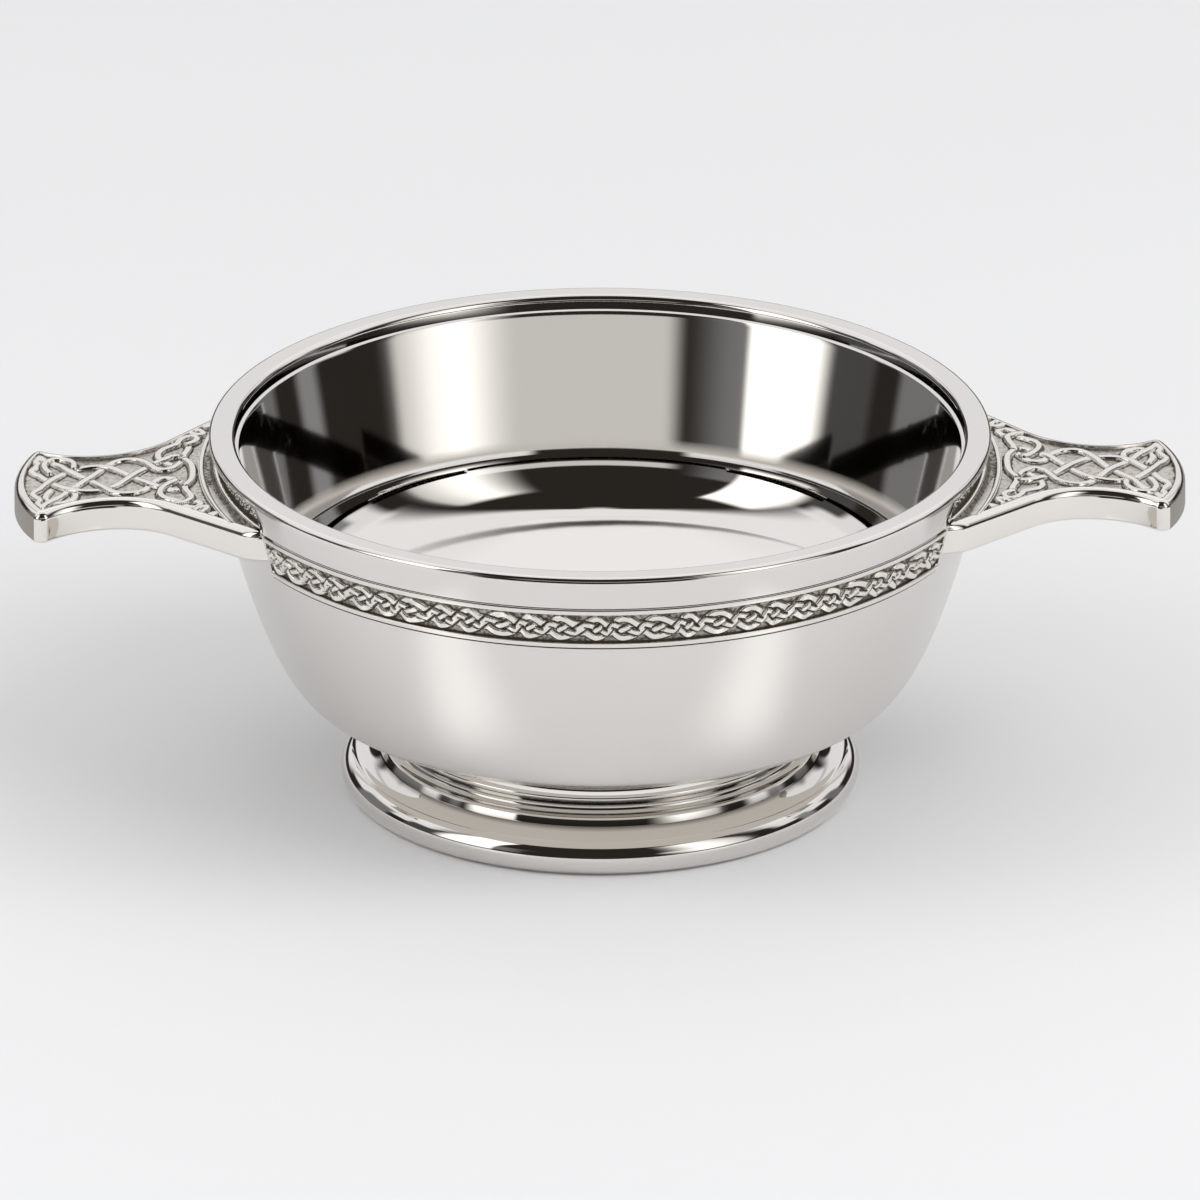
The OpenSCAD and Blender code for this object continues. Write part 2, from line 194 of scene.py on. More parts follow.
def turned(outlines, angles):
    """Surface of revolution. outlines holds (radius, height) for each angle and outline point, so
    the outline may change on the way round: (R cos a, R sin a, z)."""
    a, (r, z) = angles[:, None], np.moveaxis(outlines, -1, 0)
    return np.stack([r * np.cos(a), r * np.sin(a), z], -1)


def turned_shell(outlines, angles, close_columns=False, **values):
    """Shell of a surface that goes all the way round. A value has one entry an outline point, or
    one an angle and outline point."""
    shape = outlines.shape[:2]
    faces = grid_faces(*shape, close_rows=True, close_columns=close_columns)
    values = {name: np.broadcast_to(value, shape) for name, value in values.items()}
    return Shell().add(turned(outlines, angles), faces, **values)


# %% [markdown]
# ## Finishes
# Polished metal has no colour of its own to speak of: it shows the room, tinted a little warm. Two
# things keep it from looking like a computer's chrome. Hand polish leaves faint streaks that blur
# the reflection here and there, and old knotwork keeps dark patina, with painted shade added,
# wherever the mop can't reach.
# Sums in a shader are written as Python sums: a small class wraps a socket and adds Math nodes.


# %% Shader helpers
class Wire:
    """One output of a node. Sums and products of wires and numbers add Math nodes."""

    def __init__(self, finish, socket):
        self.finish, self.socket = finish, socket

    def _math(self, operation, first, second):
        return self.finish.node("ShaderNodeMath", {"operation": operation}, {0: first, 1: second})

    def __add__(self, other):
        return self._math("ADD", self, other)

    def __sub__(self, other):
        return self._math("SUBTRACT", self, other)

    def __rsub__(self, other):
        return self._math("SUBTRACT", other, self)

    def __mul__(self, other):
        return self._math("MULTIPLY", self, other)

    __radd__, __rmul__ = __add__, __mul__


class Finish:
    """A node tree that is written as expressions."""

    def __init__(self, tree):
        self.tree = tree
        tree.nodes.clear()

    def node(self, kind, settings=None, inputs=None, output=0):
        """Adds a node: its settings first, then a value or a wire for each named socket."""
        node = self.tree.nodes.new(kind)
        for key, value in (settings or {}).items():
            setattr(node, key, value)
        for key, value in (inputs or {}).items():
            if isinstance(value, Wire):
                self.tree.links.new(value.socket, node.inputs[key])
            else:
                node.inputs[key].default_value = value
        return Wire(self, node.outputs[output]) if len(node.outputs) else None

    def mix(self, factor, first, second):
        """Colour that goes from first to second as the factor goes from 0 to 1."""
        return self.node(
            "ShaderNodeMix", {"data_type": "RGBA"}, {0: factor, 6: first, 7: second}, output=2
        )


def new_finish(name):
    """An empty material and the Finish that writes into it."""
    material = bpy.data.materials.new(name)
    material.use_nodes = True
    return material, Finish(material.node_tree)


# %% [markdown]
# ### Polished pewter
# One finish serves the bowl, the rim and the foot, and values on the points tell their parts apart:
# satin for the softer outside of the bowl, line for patina in grooves and for patina and painted
# shade in the foot's hollows, and spun for the inner wall. A spun wall is never quite straight, and
# the one in the photograph mirrors things that stand higher than a straight one would. A Bump node
# with a smooth ramp as its height tips the reflection, and the wall itself keeps its shape.

# %% Polished pewter
PEWTER = (0.785, 0.768, 0.745, 1)
PEWTER_WARM = (0.765, 0.74, 0.705, 1)
DARK_PATINA_AND_SHADE = (0.085, 0.068, 0.052, 1)
MIRROR_ROUGHNESS, SATIN_ROUGHNESS, SPUN_ROUGHNESS = 0.035, 0.2, 0.06
CLOUD_SCALE, STREAK_SCALE, STREAK_BLUR, RIPPLE = 60, (900, 900, 60), 0.03, 0.02
SPUN_LIFT, SPUN_MIDDLE, SPUN_GAIN = 12.5, 33 * MM, 1.5e4


def point_value(f, name):
    """A value that is kept on the points of the mesh."""
    return f.node("ShaderNodeAttribute", {"attribute_name": name}, output=2)


def noise(f, place, scale, detail):
    """Soft random clouds, with values about one half."""
    return f.node("ShaderNodeTexNoise", inputs={"Vector": place, "Scale": scale, "Detail": detail})


def bare_metal(f, colour, roughness, normal):
    """Clean metal with a bumped surface."""
    inputs = {"Base Color": colour, "Metallic": 1.0, "Roughness": roughness, "Normal": normal}
    return f.node("ShaderNodeBsdfPrincipled", inputs=inputs)


def polished_pewter():
    """Mirror finish that turns to a soft satin where the point value satin is 1. Where the value
    spun is 1, the mirror is turned up by SPUN_LIFT degrees, and by more towards the lugs: the
    height of the bump falls with z by tan(lift) + SPUN_GAIN x^4. Patina lies where line is 1, and
    in the foot's hollows painted shade as well."""
    material, f = new_finish("polished_pewter")
    place = f.node("ShaderNodeTexCoord", output=3)
    cloud = noise(f, place, CLOUD_SCALE, 3)
    stretched = f.node("ShaderNodeMapping", inputs={"Vector": place, "Scale": STREAK_SCALE})
    streak = noise(f, stretched, 1, 2)
    roughness = MIRROR_ROUGHNESS + point_value(f, "satin") * (SATIN_ROUGHNESS - MIRROR_ROUGHNESS)
    roughness = roughness + (streak * cloud - 0.25) * STREAK_BLUR
    # Where line is 1 the colour turns dark: patina, and painted shade in the foot's hollows.
    colour = f.mix(point_value(f, "line"), f.mix(cloud, PEWTER, PEWTER_WARM), DARK_PATINA_AND_SHADE)
    ripple = f.node("ShaderNodeBump", inputs={"Height": cloud, "Strength": RIPPLE, "Distance": MM})
    x, z = (f.node("ShaderNodeSeparateXYZ", inputs={0: place}, output=k) for k in (0, 2))
    fall = (SPUN_MIDDLE - z) * (np.tan(np.radians(SPUN_LIFT)) + x * x * x * x * SPUN_GAIN)
    lifted = f.node("ShaderNodeBump", inputs={"Height": fall, "Strength": 1.0, "Distance": 1.0})
    polished = bare_metal(f, colour, roughness, ripple)
    spun = bare_metal(f, colour, SPUN_ROUGHNESS, lifted)
    both = f.node("ShaderNodeMixShader", inputs={0: point_value(f, "spun"), 1: polished, 2: spun})
    f.node("ShaderNodeOutputMaterial", inputs={"Surface": both})
    return material


# %% [markdown]
# ### Knotwork pewter
# A polishing mop only touches the top of cast knotwork. So the strands are bright, the ground
# between them is grey and stippled, and patina stays in the lines beside them, darkened further by
# painted shade. Patina is a dull crust and no metal, so it has its own shader, which is mixed in
# where patina and painted shade lie.

# %% Knotwork pewter
STRAND_PALE = (0.82, 0.79, 0.75, 1)
GROUND_GREY = (0.65, 0.615, 0.57, 1)
BLOTCH_SCALE, GRAIN_SCALE, STIPPLE_DEPTH = 500, 1900, 0.2 * MM
STRAND_ROUGHNESS, GROUND_ROUGHNESS, BLOTCH_ROUGHNESS = 0.08, 0.3, 0.06
TARNISH_AND_SHADE = {"Base Color": DARK_PATINA_AND_SHADE, "Metallic": 0.0, "Roughness": 0.9, "Specular IOR Level": 0.05}


def knotwork_pewter():
    """Cast pewter: bright on the strands, a stippled grey ground where the point value ground is 1,
    and dark oxide with painted shade in the lines beside the strands, where the point value line is
    1."""
    material, f = new_finish("knotwork_pewter")
    place = f.node("ShaderNodeTexCoord", output=3)
    ground, line = point_value(f, "ground"), point_value(f, "line")
    blotch = noise(f, place, BLOTCH_SCALE, 4) - 0.5
    grain = noise(f, place, GRAIN_SCALE, 3)
    spots = f.node("ShaderNodeMapRange", inputs={0: grain, 1: 0.4, 2: 0.6, 3: 0.45, 4: 0.0})
    # The lines bring patina and painted shade; blotches everywhere and spots on the ground add
    # tarnish.
    dirt_and_shade = line + blotch * 0.5 + spots * ground
    dark = f.node("ShaderNodeMapRange", inputs={0: dirt_and_shade, 1: 0.15, 2: 0.95})
    colour = f.mix(ground, STRAND_PALE, GROUND_GREY)
    roughness = STRAND_ROUGHNESS + ground * GROUND_ROUGHNESS + blotch * BLOTCH_ROUGHNESS
    bump = {"Height": grain * ground, "Strength": 0.6, "Distance": STIPPLE_DEPTH}
    metal = bare_metal(f, colour, roughness, f.node("ShaderNodeBump", inputs=bump))
    # The shader of patina, which also paints the shade.
    tarnish_and_shade_bsdf = f.node("ShaderNodeBsdfPrincipled", inputs=TARNISH_AND_SHADE)
    both = f.node("ShaderNodeMixShader", inputs={0: dark, 1: metal, 2: tarnish_and_shade_bsdf})
    f.node("ShaderNodeOutputMaterial", inputs={"Surface": both})
    return material


POLISHED, KNOTWORK = polished_pewter(), knotwork_pewter()
print("finishes:", POLISHED.name, KNOTWORK.name)

# %% [markdown]
# ## The bowl
# The bowl is turned, so one outline carried round the axis gives all of it. Inside, a tapering
# wall meets a spherical dish through a bend. The three parts are tangent to each other, which the
# eye notices at once in a mirror. Outside, one cubic falls from the lip to the belly and a second
# runs on to the flat that the foot is soldered to. Two shallow recesses take the knot strips, so
# the outline has a second version for the angles where a strip lies.

# %% Outlines of the bowl
LIP_R, RIM_W, RIM_STEP, WALL_T = 51.1, 3.6, 0.5, 1.25
WALL_FLARE, WALL_EASE, BELLY_EASE, BELLY_SLOPE = 12.3, 7.1, 7.2, 21.7
BELLY_DEPTH, BELLY_IN, BASE_R = 6.8, 1.6, 26.2
WALL_TAPER, BEND_R, DISH_SLOPE, FLOOR_T = 7.1, 10.0, 26.0, 1.35
RIM_INNER_R = LIP_R - RIM_W
MOUTH_R = RIM_INNER_R - RIM_STEP
SEAT_R = MOUTH_R + WALL_T
DISH_Z = FOOT_H + FLOOR_T

dish_edge = 90 - DISH_SLOPE
lean = np.tan(np.radians(WALL_TAPER))
edge_x, edge_y = turn(dish_edge)
dish_over_bend = (
    MOUTH_R - BEND_R / np.cos(np.radians(WALL_TAPER)) - (EDGE_Z - DISH_Z - BEND_R) * lean
) / (edge_x - lean * (1 - edge_y))
dish_r = dish_over_bend + BEND_R
dish_centre = np.array([0, DISH_Z + dish_r])
bend_centre = dish_centre + dish_over_bend * turn(-dish_edge)
floor_run = chain(
    arc(dish_centre, dish_r, -90, -dish_edge, 64),
    arc(bend_centre, BEND_R, -dish_edge, -WALL_TAPER, 40),
)
inside = chain(floor_run, line(floor_run[-1], (MOUTH_R, EDGE_Z), 14))
WALL_START = len(floor_run)

lip = np.array([LIP_R, CUP_H])
belly = dish_centre + dish_r * turn(-dish_edge) - (BELLY_IN, BELLY_DEPTH)
base = np.array([BASE_R, FOOT_H])
wall_start = lip - WALL_EASE * turn(90 - WALL_FLARE)
wall = cubic([lip, wall_start, belly + BELLY_EASE * turn(BELLY_SLOPE), belly], 400)
reach = (belly[0] - BASE_R) / 3
underside = cubic([belly, belly - reach * turn(BELLY_SLOPE), base + (reach, 0), base], 24)


def wall_r(z):
    """Outer radius of the wall at a height, read off the cubic."""
    return np.interp(z, wall[::-1, 1], wall[::-1, 0])


def wall_run(top, bottom, steps):
    """The outer wall between two heights."""
    z = np.linspace(top, bottom, steps)
    return np.stack([wall_r(z), z], -1)


print(f"dish radius {dish_r:.1f} mm, belly at R {belly[0]:.1f} z {belly[1]:.1f}")

# %% [markdown]
# ### The bowl's surface
# The recesses need sharp ends, so a pair of close angles stands at each end of a strip. A fine
# groove with patina runs along the lower side of each strip. One setting is for the picture alone:
# the bowl isn't mirrored in the other pieces or in itself, so that its inside shows the studio.

# %% The bowl's surface
BAND_INLAY, GROOVE_W, GROOVE_DEPTH, GROOVE_ROWS = 0.8, 0.16, 0.06, 4
EDGE_RUN, EDGE_EASE = 0.6, 0.12
STEP, CLOSE_ANGLE, AROUND = 0.01, 2e-5, 288
BAND_HALF_ANGLE = np.pi / 2 - np.arcsin(HALF_ROOT / wall_r(BAND_LOW))


def angles_with_breaks(count, breaks):
    """Angles all the way round, with a pair of close angles at each break."""
    even = np.linspace(0, 2 * np.pi, count, endpoint=False)
    pairs = np.asarray(breaks)[:, None] + (-CLOSE_ANGLE, CLOSE_ANGLE)
    return np.unique(np.mod(np.r_[even, pairs.ravel()], 2 * np.pi))


def in_strip(a):
    """True at the angles of a strip, which lies about -Y or +Y."""
    return np.abs(np.abs(np.mod(a + np.pi, 2 * np.pi) - np.pi) - np.pi / 2) < BAND_HALF_ANGLE


def make_bowl():
    """One closed outline carried round the axis, with the strips' recess let into the wall."""
    edge = [(MOUTH_R - EDGE_RUN * lean, EDGE_Z - EDGE_RUN), (MOUTH_R, EDGE_Z)]
    shoulder = eased(edge + [(SEAT_R, EDGE_Z), (SEAT_R, APRON_Z)], EDGE_EASE, 4)
    strip = wall_run(APRON_Z - STEP, BAND_LOW + STEP, 12)
    outline = np.vstack([
        inside[:-1], shoulder, wall_run(APRON_Z, APRON_Z, 1), strip,
        wall_run(BAND_LOW, BAND_LOW - GROOVE_W, GROOVE_ROWS),
        wall_run(BAND_LOW - 1.5 * GROOVE_W, belly[1], 90), underside[1:], [(0, FOOT_H)],
    ])
    rows, start = np.arange(len(outline)), len(inside) + len(shoulder)
    groove = start + len(strip)
    breaks = [s * np.pi / 2 + t * BAND_HALF_ANGLE for s in (-1, 1) for t in (-1, 1)]
    angles = angles_with_breaks(AROUND, breaks)
    outlines = np.repeat(outline[None], len(angles), 0)
    outlines[in_strip(angles), start:groove, 0] -= BAND_INLAY
    line = in_strip(angles)[:, None] & (rows >= groove) & (rows < groove + GROOVE_ROWS)
    deep = line & (rows > groove) & (rows < groove + GROOVE_ROWS - 1)
    outlines[..., 0] -= GROOVE_DEPTH * deep
    spun = (rows >= WALL_START) & (rows <= len(inside))
    shell = turned_shell(outlines, angles, satin=rows >= start - 1, spun=spun, line=line)
    return make_piece("bowl_shell", shell, ["bowl"], POLISHED, mirrored=False)


make_bowl()

# %% [markdown]
# ## The rim
# A separate ring closes the edge of the bowl. Its outside carries on the flare of the wall, its
# top is flat, and its edges are rounded by polishing: a cubic on the outside, a quarter circle at
# the mouth. Over each lug the ring is cut back to a thin lip, because the lug's own back panel
# stands there. Like the bowl, the ring isn't mirrored.

# %% The rim's surface
RIM_EDGE, RIM_PULL, RIM_MOUTH_EDGE, RIM_OVER_LUG = 0.95, 0.65, 0.8, 1.1
APRON_EASE, LIP_DRAW = 0.14, 0.05


def make_rim():
    """The ring's outline carried round. Over a lug, the part below the lip is drawn in."""
    pocket_top = CUP_H - RIM_OVER_LUG
    apron = wall_run(APRON_Z, pocket_top - STEP, 24)
    apron[0] += (-APRON_EASE, 0)
    corner = np.array([wall_r(CUP_H) - LIP_DRAW, CUP_H])
    before, after = wall_run(CUP_H - RIM_EDGE, CUP_H, 2)[0], corner - (RIM_EDGE, 0)
    pulled = [(1 - RIM_PULL) * end + RIM_PULL * corner for end in (before, after)]
    edge = cubic([before, *pulled, after], 14)
    mouth_centre = (RIM_INNER_R + RIM_MOUTH_EDGE, CUP_H - RIM_MOUTH_EDGE)
    mouth = arc(mouth_centre, RIM_MOUTH_EDGE, 90, 180, 14)
    lip = wall_run(pocket_top, CUP_H - RIM_EDGE, 3)
    seat_z = EDGE_Z + SOLDER
    seat = [(RIM_INNER_R, seat_z), (SEAT_R, seat_z), (SEAT_R + SOLDER, APRON_Z)]
    outline = chain(apron, lip, edge, mouth, seat)
    spun = (outline[:, 0] < RIM_INNER_R + 1e-6) & (outline[:, 1] < CUP_H)
    half = np.arcsin(HALF_ROOT / wall_r(APRON_Z))
    angles = angles_with_breaks(AROUND, [half, -half, np.pi - half, np.pi + half])
    outlines = np.repeat(outline[None], len(angles), 0)
    over_lug = np.abs(np.sin(angles)) < HALF_ROOT / wall_r(APRON_Z)
    outlines[over_lug, : len(apron), 0] = SEAT_R + 2 * SOLDER
    shell = turned_shell(outlines, angles, close_columns=True, spun=spun)
    return make_piece(
        "rim_ring_turned", shell, ["rim_ring"], POLISHED, mirrored=False
    )


make_rim()

# %% [markdown]
# ## The foot
# The foot is turned too, with the mouldings of a classic pedestal: a neck, a small collar, a
# hollow, a bead with a flat face, a cove and a fat base roll that is lapped flat where it stands.
# Roll and cove meet in a crisp edge. Patina and painted shade darken the neck, the hollows and the
# crease, so each run of the outline comes with how much of them lies at its first and at its last
# point.

# %% The foot's surface
ROLL_R, ROLL_LAP, LEDGE_W, ARRIS = 2.45, 0.12, 2.98, 66
BEAD_R, BEAD_Z, BEAD_TOP, BEAD_FACE, FACE_W = 0.5, 5.73, 85, 30, 0.9
COLLAR_IN, COLLAR_EDGE, COLLAR_Z, COLLAR_W, NECK_T = 1.22, 0.5, 8.87, 1.9, 2.0
COLLAR_TOP, COLLAR_UNDER, NECK_FOOT, NECK_EASE, INNER_EASE = 70, -60, 0.45, 0.2, 0.4
HOLLOW_START, HOLLOW_END = (0.45, 0.9), 1.1
COVE_START, COVE_END = (1.05, -1.0), (1.45, 1.67)


def make_foot():
    """One closed outline, from the neck down the outside, under the roll and up the inside."""
    roll = np.array([FOOT_R - ROLL_R, ROLL_R - ROLL_LAP])
    bead = np.array([roll[0] - LEDGE_W - BEAD_R, BEAD_Z])
    collar_r = bead[0] + BEAD_R - COLLAR_IN
    neck_r = collar_r - COLLAR_W
    inner_r = neck_r - NECK_T
    collar = np.array([collar_r - COLLAR_EDGE, COLLAR_Z - COLLAR_EDGE])
    stand = np.degrees(np.arcsin(roll[1] / ROLL_R))
    face = bead + BEAD_R * turn(BEAD_FACE)
    crease, arris = face + FACE_W * turn(BEAD_FACE - 90), roll + ROLL_R * turn(ARRIS)
    collar_top = collar + COLLAR_EDGE * turn(COLLAR_TOP)
    neck = [(neck_r, FOOT_H), (neck_r, COLLAR_Z + NECK_FOOT), collar_top]
    under, ledge = collar + COLLAR_EDGE * turn(COLLAR_UNDER), bead + BEAD_R * turn(BEAD_TOP)
    hollow = [under, under - HOLLOW_START, ledge - HOLLOW_END * turn(BEAD_TOP - 90), ledge]
    cove = cubic([crease, crease + COVE_START, arris - COVE_END, arris], 28)
    inner = [
        roll + ROLL_R * turn(-stand), (roll[0] - ROLL_R, 0), (roll[0] - ROLL_R, roll[1]),
        (bead[0] - NECK_T, bead[1] - NECK_T / 2), (inner_r, bead[1] + NECK_T), (inner_r, FOOT_H),
    ]
    # Each run: its points, then patina and painted shade at its first and at its last point.
    runs = [
        (eased(neck, NECK_EASE, 8)[:-1], 0.5, 0.2),
        ([collar_top], 0, 0),
        (arc(collar, COLLAR_EDGE, COLLAR_TOP, -20, 12), 0, 0),
        (arc(collar, COLLAR_EDGE, -40, COLLAR_UNDER, 3), 0.7, 0.7),
        (cubic(hollow, 28), 0.45, 0.05),
        (arc(bead, BEAD_R, BEAD_TOP, BEAD_FACE, 16), 0, 0),
        (line(face, crease, 8)[1:-1], 0, 0.4),
        (cove[:5], 0.8, 0.1),
        (cove[5:], 0.05, 0),
        (arc(roll, ROLL_R, ARRIS, -stand, 64), 0, 0),
        (eased(inner, INNER_EASE, 6), 0, 0),
    ]
    outline = np.vstack([points for points, _, _ in runs])
    patina_and_shade = np.concatenate([np.linspace(first, last, len(points)) for points, first, last in runs])
    angles = np.linspace(0, 2 * np.pi, AROUND, endpoint=False)
    outlines = np.repeat(outline[None], AROUND, 0)
    shell = turned_shell(outlines, angles, close_columns=True, line=patina_and_shade)
    return make_piece("foot_turned", shell, ["foot_ring"], POLISHED)


make_foot()

# %% [markdown]
# ## The knot strips
# Each strip runs round the bowl from lug to lug: two plain borders and a sunk field with an
# interlaced plait. A plait is a set of equal waves, each shifted against the next. What makes it
# look woven is the third dimension: along each strand the height swings up and down, so that it
# goes over one neighbour and under the next. We work the relief out as a height field, a height
# for each place along and across the strip, and wrap the strip round the bowl afterwards.

# %% Relief of a strand
GROOVE = 0.25


def strand_relief(distance, half_width, height):
    """Height of a strand at a distance from its middle: flat, with a bevel that takes up the outer
    two fifths of each half."""
    t = distance / half_width
    return height * smooth_step((1 - t) / 0.4)


def woven(distances, lifts, half_widths, height, swing):
    """Relief of crossing strands, and the dark lines beside them, which are oxide and painted shade.
    The highest strand shows. Where another strand lies higher, a strand is cut back to nothing
    within
    GROOVE of that strand's edge, as a carver would do it. A line is 1 at the edge of a strand that
    stands over the place and 0 at GROOVE from it."""
    edges = [distance - half for distance, half in zip(distances, half_widths)]
    beside = [np.where(edge > 0, 1 - smooth_step(edge / GROOVE), 0) for edge in edges]
    relief, lines = np.zeros_like(edges[0]), np.max(beside, axis=0)
    for k, (distance, lift) in enumerate(zip(distances, lifts)):
        body = strand_relief(distance, half_widths[k], height) * (1 + swing * lift)
        shade = np.zeros_like(body)
        for m, other_lift in enumerate(lifts):
            if m != k:
                over = other_lift > lift
                body = np.where(over, body * smooth_step(edges[m] / GROOVE), body)
                shade = np.where(over, np.maximum(shade, beside[m]), shade)
        # A strand's own edge is painted dark too, as shade.
        own = 0.8 * (1 - smooth_step(-edges[k] / 0.12))
        lines = np.where((edges[k] <= 0) & (body > relief), np.maximum(shade, own), lines)
        relief = np.maximum(relief, body)
    return relief, lines


def plait_relief(s, v, wave, swings, half_widths, height, swing):
    """Relief and lines of a plait along s. Strand k follows v = A sin(theta + 90 k), where theta
    turns once in a wave, and rises with cos 3(theta + 90 k). Slow waves of other lengths bend s and
    A a little, because a carver's hand is never quite even. Distances are square to the run."""
    s = s + 0.30 * np.sin(0.61 * s) + 0.18 * np.sin(1.13 * s + 1.0)
    distances, lifts = [], []
    for k, reach in enumerate(swings):
        theta = 2 * np.pi * s / wave + k * np.pi / 2
        reach = reach * (1 + 0.07 * np.sin(0.83 * s + 2.0 * k))
        slope = reach * 2 * np.pi / wave * np.cos(theta)
        distances.append(np.abs(v - reach * np.sin(theta)) / np.sqrt(1 + slope**2))
        lifts.append(np.cos(3 * theta))
    return woven(distances, lifts, half_widths, height, swing)


# %% [markdown]
# ### The strips' surfaces
# The section of a strip is its back, two borders with eased edges and the field between them, with
# the relief added. Carried round the bowl, it follows the flare of the wall. The back is hidden in
# the recess and painted dark as shade, so that it stays dark where a mirror looks at it through the
# bowl.

# %% The strips' surfaces
BAND_PROUD, BAND_SINK, BAND_BORDER, BORDER_EASE = 0.2, 0.55, 0.7, 0.14
KNOT_WAVE, STRAND_H, STRAND_SWING, BORDER_SHADE = 8.2, 0.46, 0.28, 0.3
PLAIT_SWINGS, STRAND_HALVES = (1.45, 0.72, 1.45, 0.72), (0.52, 0.42, 0.52, 0.42)
BAND_ROWS, BAND_COLUMNS = 60, 1060
HIDDEN_ROWS = [0, 1, 2, 3, 4, -1, -2, -3]


def strip_section(half_v, field_v):
    """Points (across, out) round the strip, and the place in it where the field starts."""
    floor = BAND_PROUD - BAND_SINK
    corners = [(-half_v, 0), (-half_v, BAND_PROUD), (-field_v, BAND_PROUD), (-field_v, floor)]
    border = eased(corners, BORDER_EASE, 6)
    back = np.array([(half_v, SOLDER - BAND_INLAY), (-half_v, SOLDER - BAND_INLAY)])
    field = line((-field_v, floor), (field_v, floor), BAND_ROWS)
    section = np.vstack([back, border[:-1], field, border[-2::-1] * (-1, 1)])
    return section, len(back) + len(border) - 1


def make_strip(name, node, middle):
    """The section carried round the bowl. The strip's middle lies at the angle given."""
    low, high = BAND_LOW + SOLDER, APRON_Z - SOLDER
    half_v = (high - low) / 2
    field_v = half_v - BAND_BORDER
    section, start = strip_section(half_v, field_v)
    half_angle = BAND_HALF_ANGLE - SOLDER / wall_r(low)
    angles = np.linspace(-half_angle, half_angle, BAND_COLUMNS)
    s = angles[:, None] * wall_r((low + high) / 2)
    v, out = (np.repeat(section[None, :, i], BAND_COLUMNS, 0) for i in (0, 1))
    rows = slice(start + 1, start + BAND_ROWS - 1)
    relief, lines = plait_relief(
        s, v[:, rows], KNOT_WAVE, PLAIT_SWINGS, STRAND_HALVES, STRAND_H, STRAND_SWING
    )
    out[:, rows] += relief
    ground, dark = np.zeros_like(out), np.zeros_like(out)
    ground[:, rows] = 1 - smooth_step(relief / (0.6 * STRAND_H))
    # Patina and painted shade darken the ground, and more of it along the borders.
    shade_beside_border = 1 - smooth_step((field_v - np.abs(v[:, rows])) / BORDER_SHADE)
    dark[:, rows] = np.maximum(lines, (0.4 + shade_beside_border) * ground[:, rows])
    # The edges of the field and the hidden back are painted dark as shade.
    dark[:, [start, start + BAND_ROWS - 1] + HIDDEN_ROWS] = 1
    z = (low + high) / 2 + v
    shell = Shell().add(
        turned(np.stack([wall_r(z) + out, z], -1), angles + middle),
        grid_faces(BAND_COLUMNS, len(section), close_columns=True),
        ground=ground,
        line=dark,
    )
    last = (BAND_COLUMNS - 1) * len(section)
    shell.faces += [list(range(len(section))), list(range(last, shell.count))]
    return make_piece(name, shell, [node], KNOTWORK, sharp=60)


make_strip("knot_strip_front", "knot_band_front", -np.pi / 2)
make_strip("knot_strip_back", "knot_band_back", np.pi / 2)

# %% [markdown]
# ## The lugs
# Seen from above, a lug is a chain of arcs: a shoulder at the bowl, a hollow waist, a small corner
# and a bowed end. An inset outline has the same centres and other radii, so a stack of outlines,
# each at its own depth and inset, gives the rounded edge, the side and the border. The sunk field
# is a patch stretched between the four sides of the innermost outline.

# %% Outline of a lug
LUG_T, LUG_LEAN, LUG_BELOW_RIM = 4.25, 3.7, 4.65
WAIST_HALF, WAIST_X, WAIST_R, SPREAD = 8.3, 64.6, 11.6, 46.8
SHOULDER_R, TIP_R, CORNER_R = 5.0, 25.8, 1.3
LUG_EDGE, LUG_UNDER_EDGE, LUG_BORDER, LUG_SINK, FIELD_IN = 1.12, 0.45, 0.1, 0.5, 2.2
LUG_TOP_Z = CUP_H - LUG_BELOW_RIM
ROOT_X = wall_r(LUG_TOP_Z)
FIELD_ROOT_R = ROOT_X + FIELD_IN
SIDE_STEPS, END_STEPS = 244, 230


def lug_plane(x, depth):
    """Height of the leaning top of a lug at x, less a depth."""
    return LUG_TOP_Z - (x - ROOT_X) * np.tan(np.radians(LUG_LEAN)) - depth


def heading(vector):
    """Direction of a vector, in degrees."""
    return np.degrees(np.arctan2(vector[1], vector[0]))


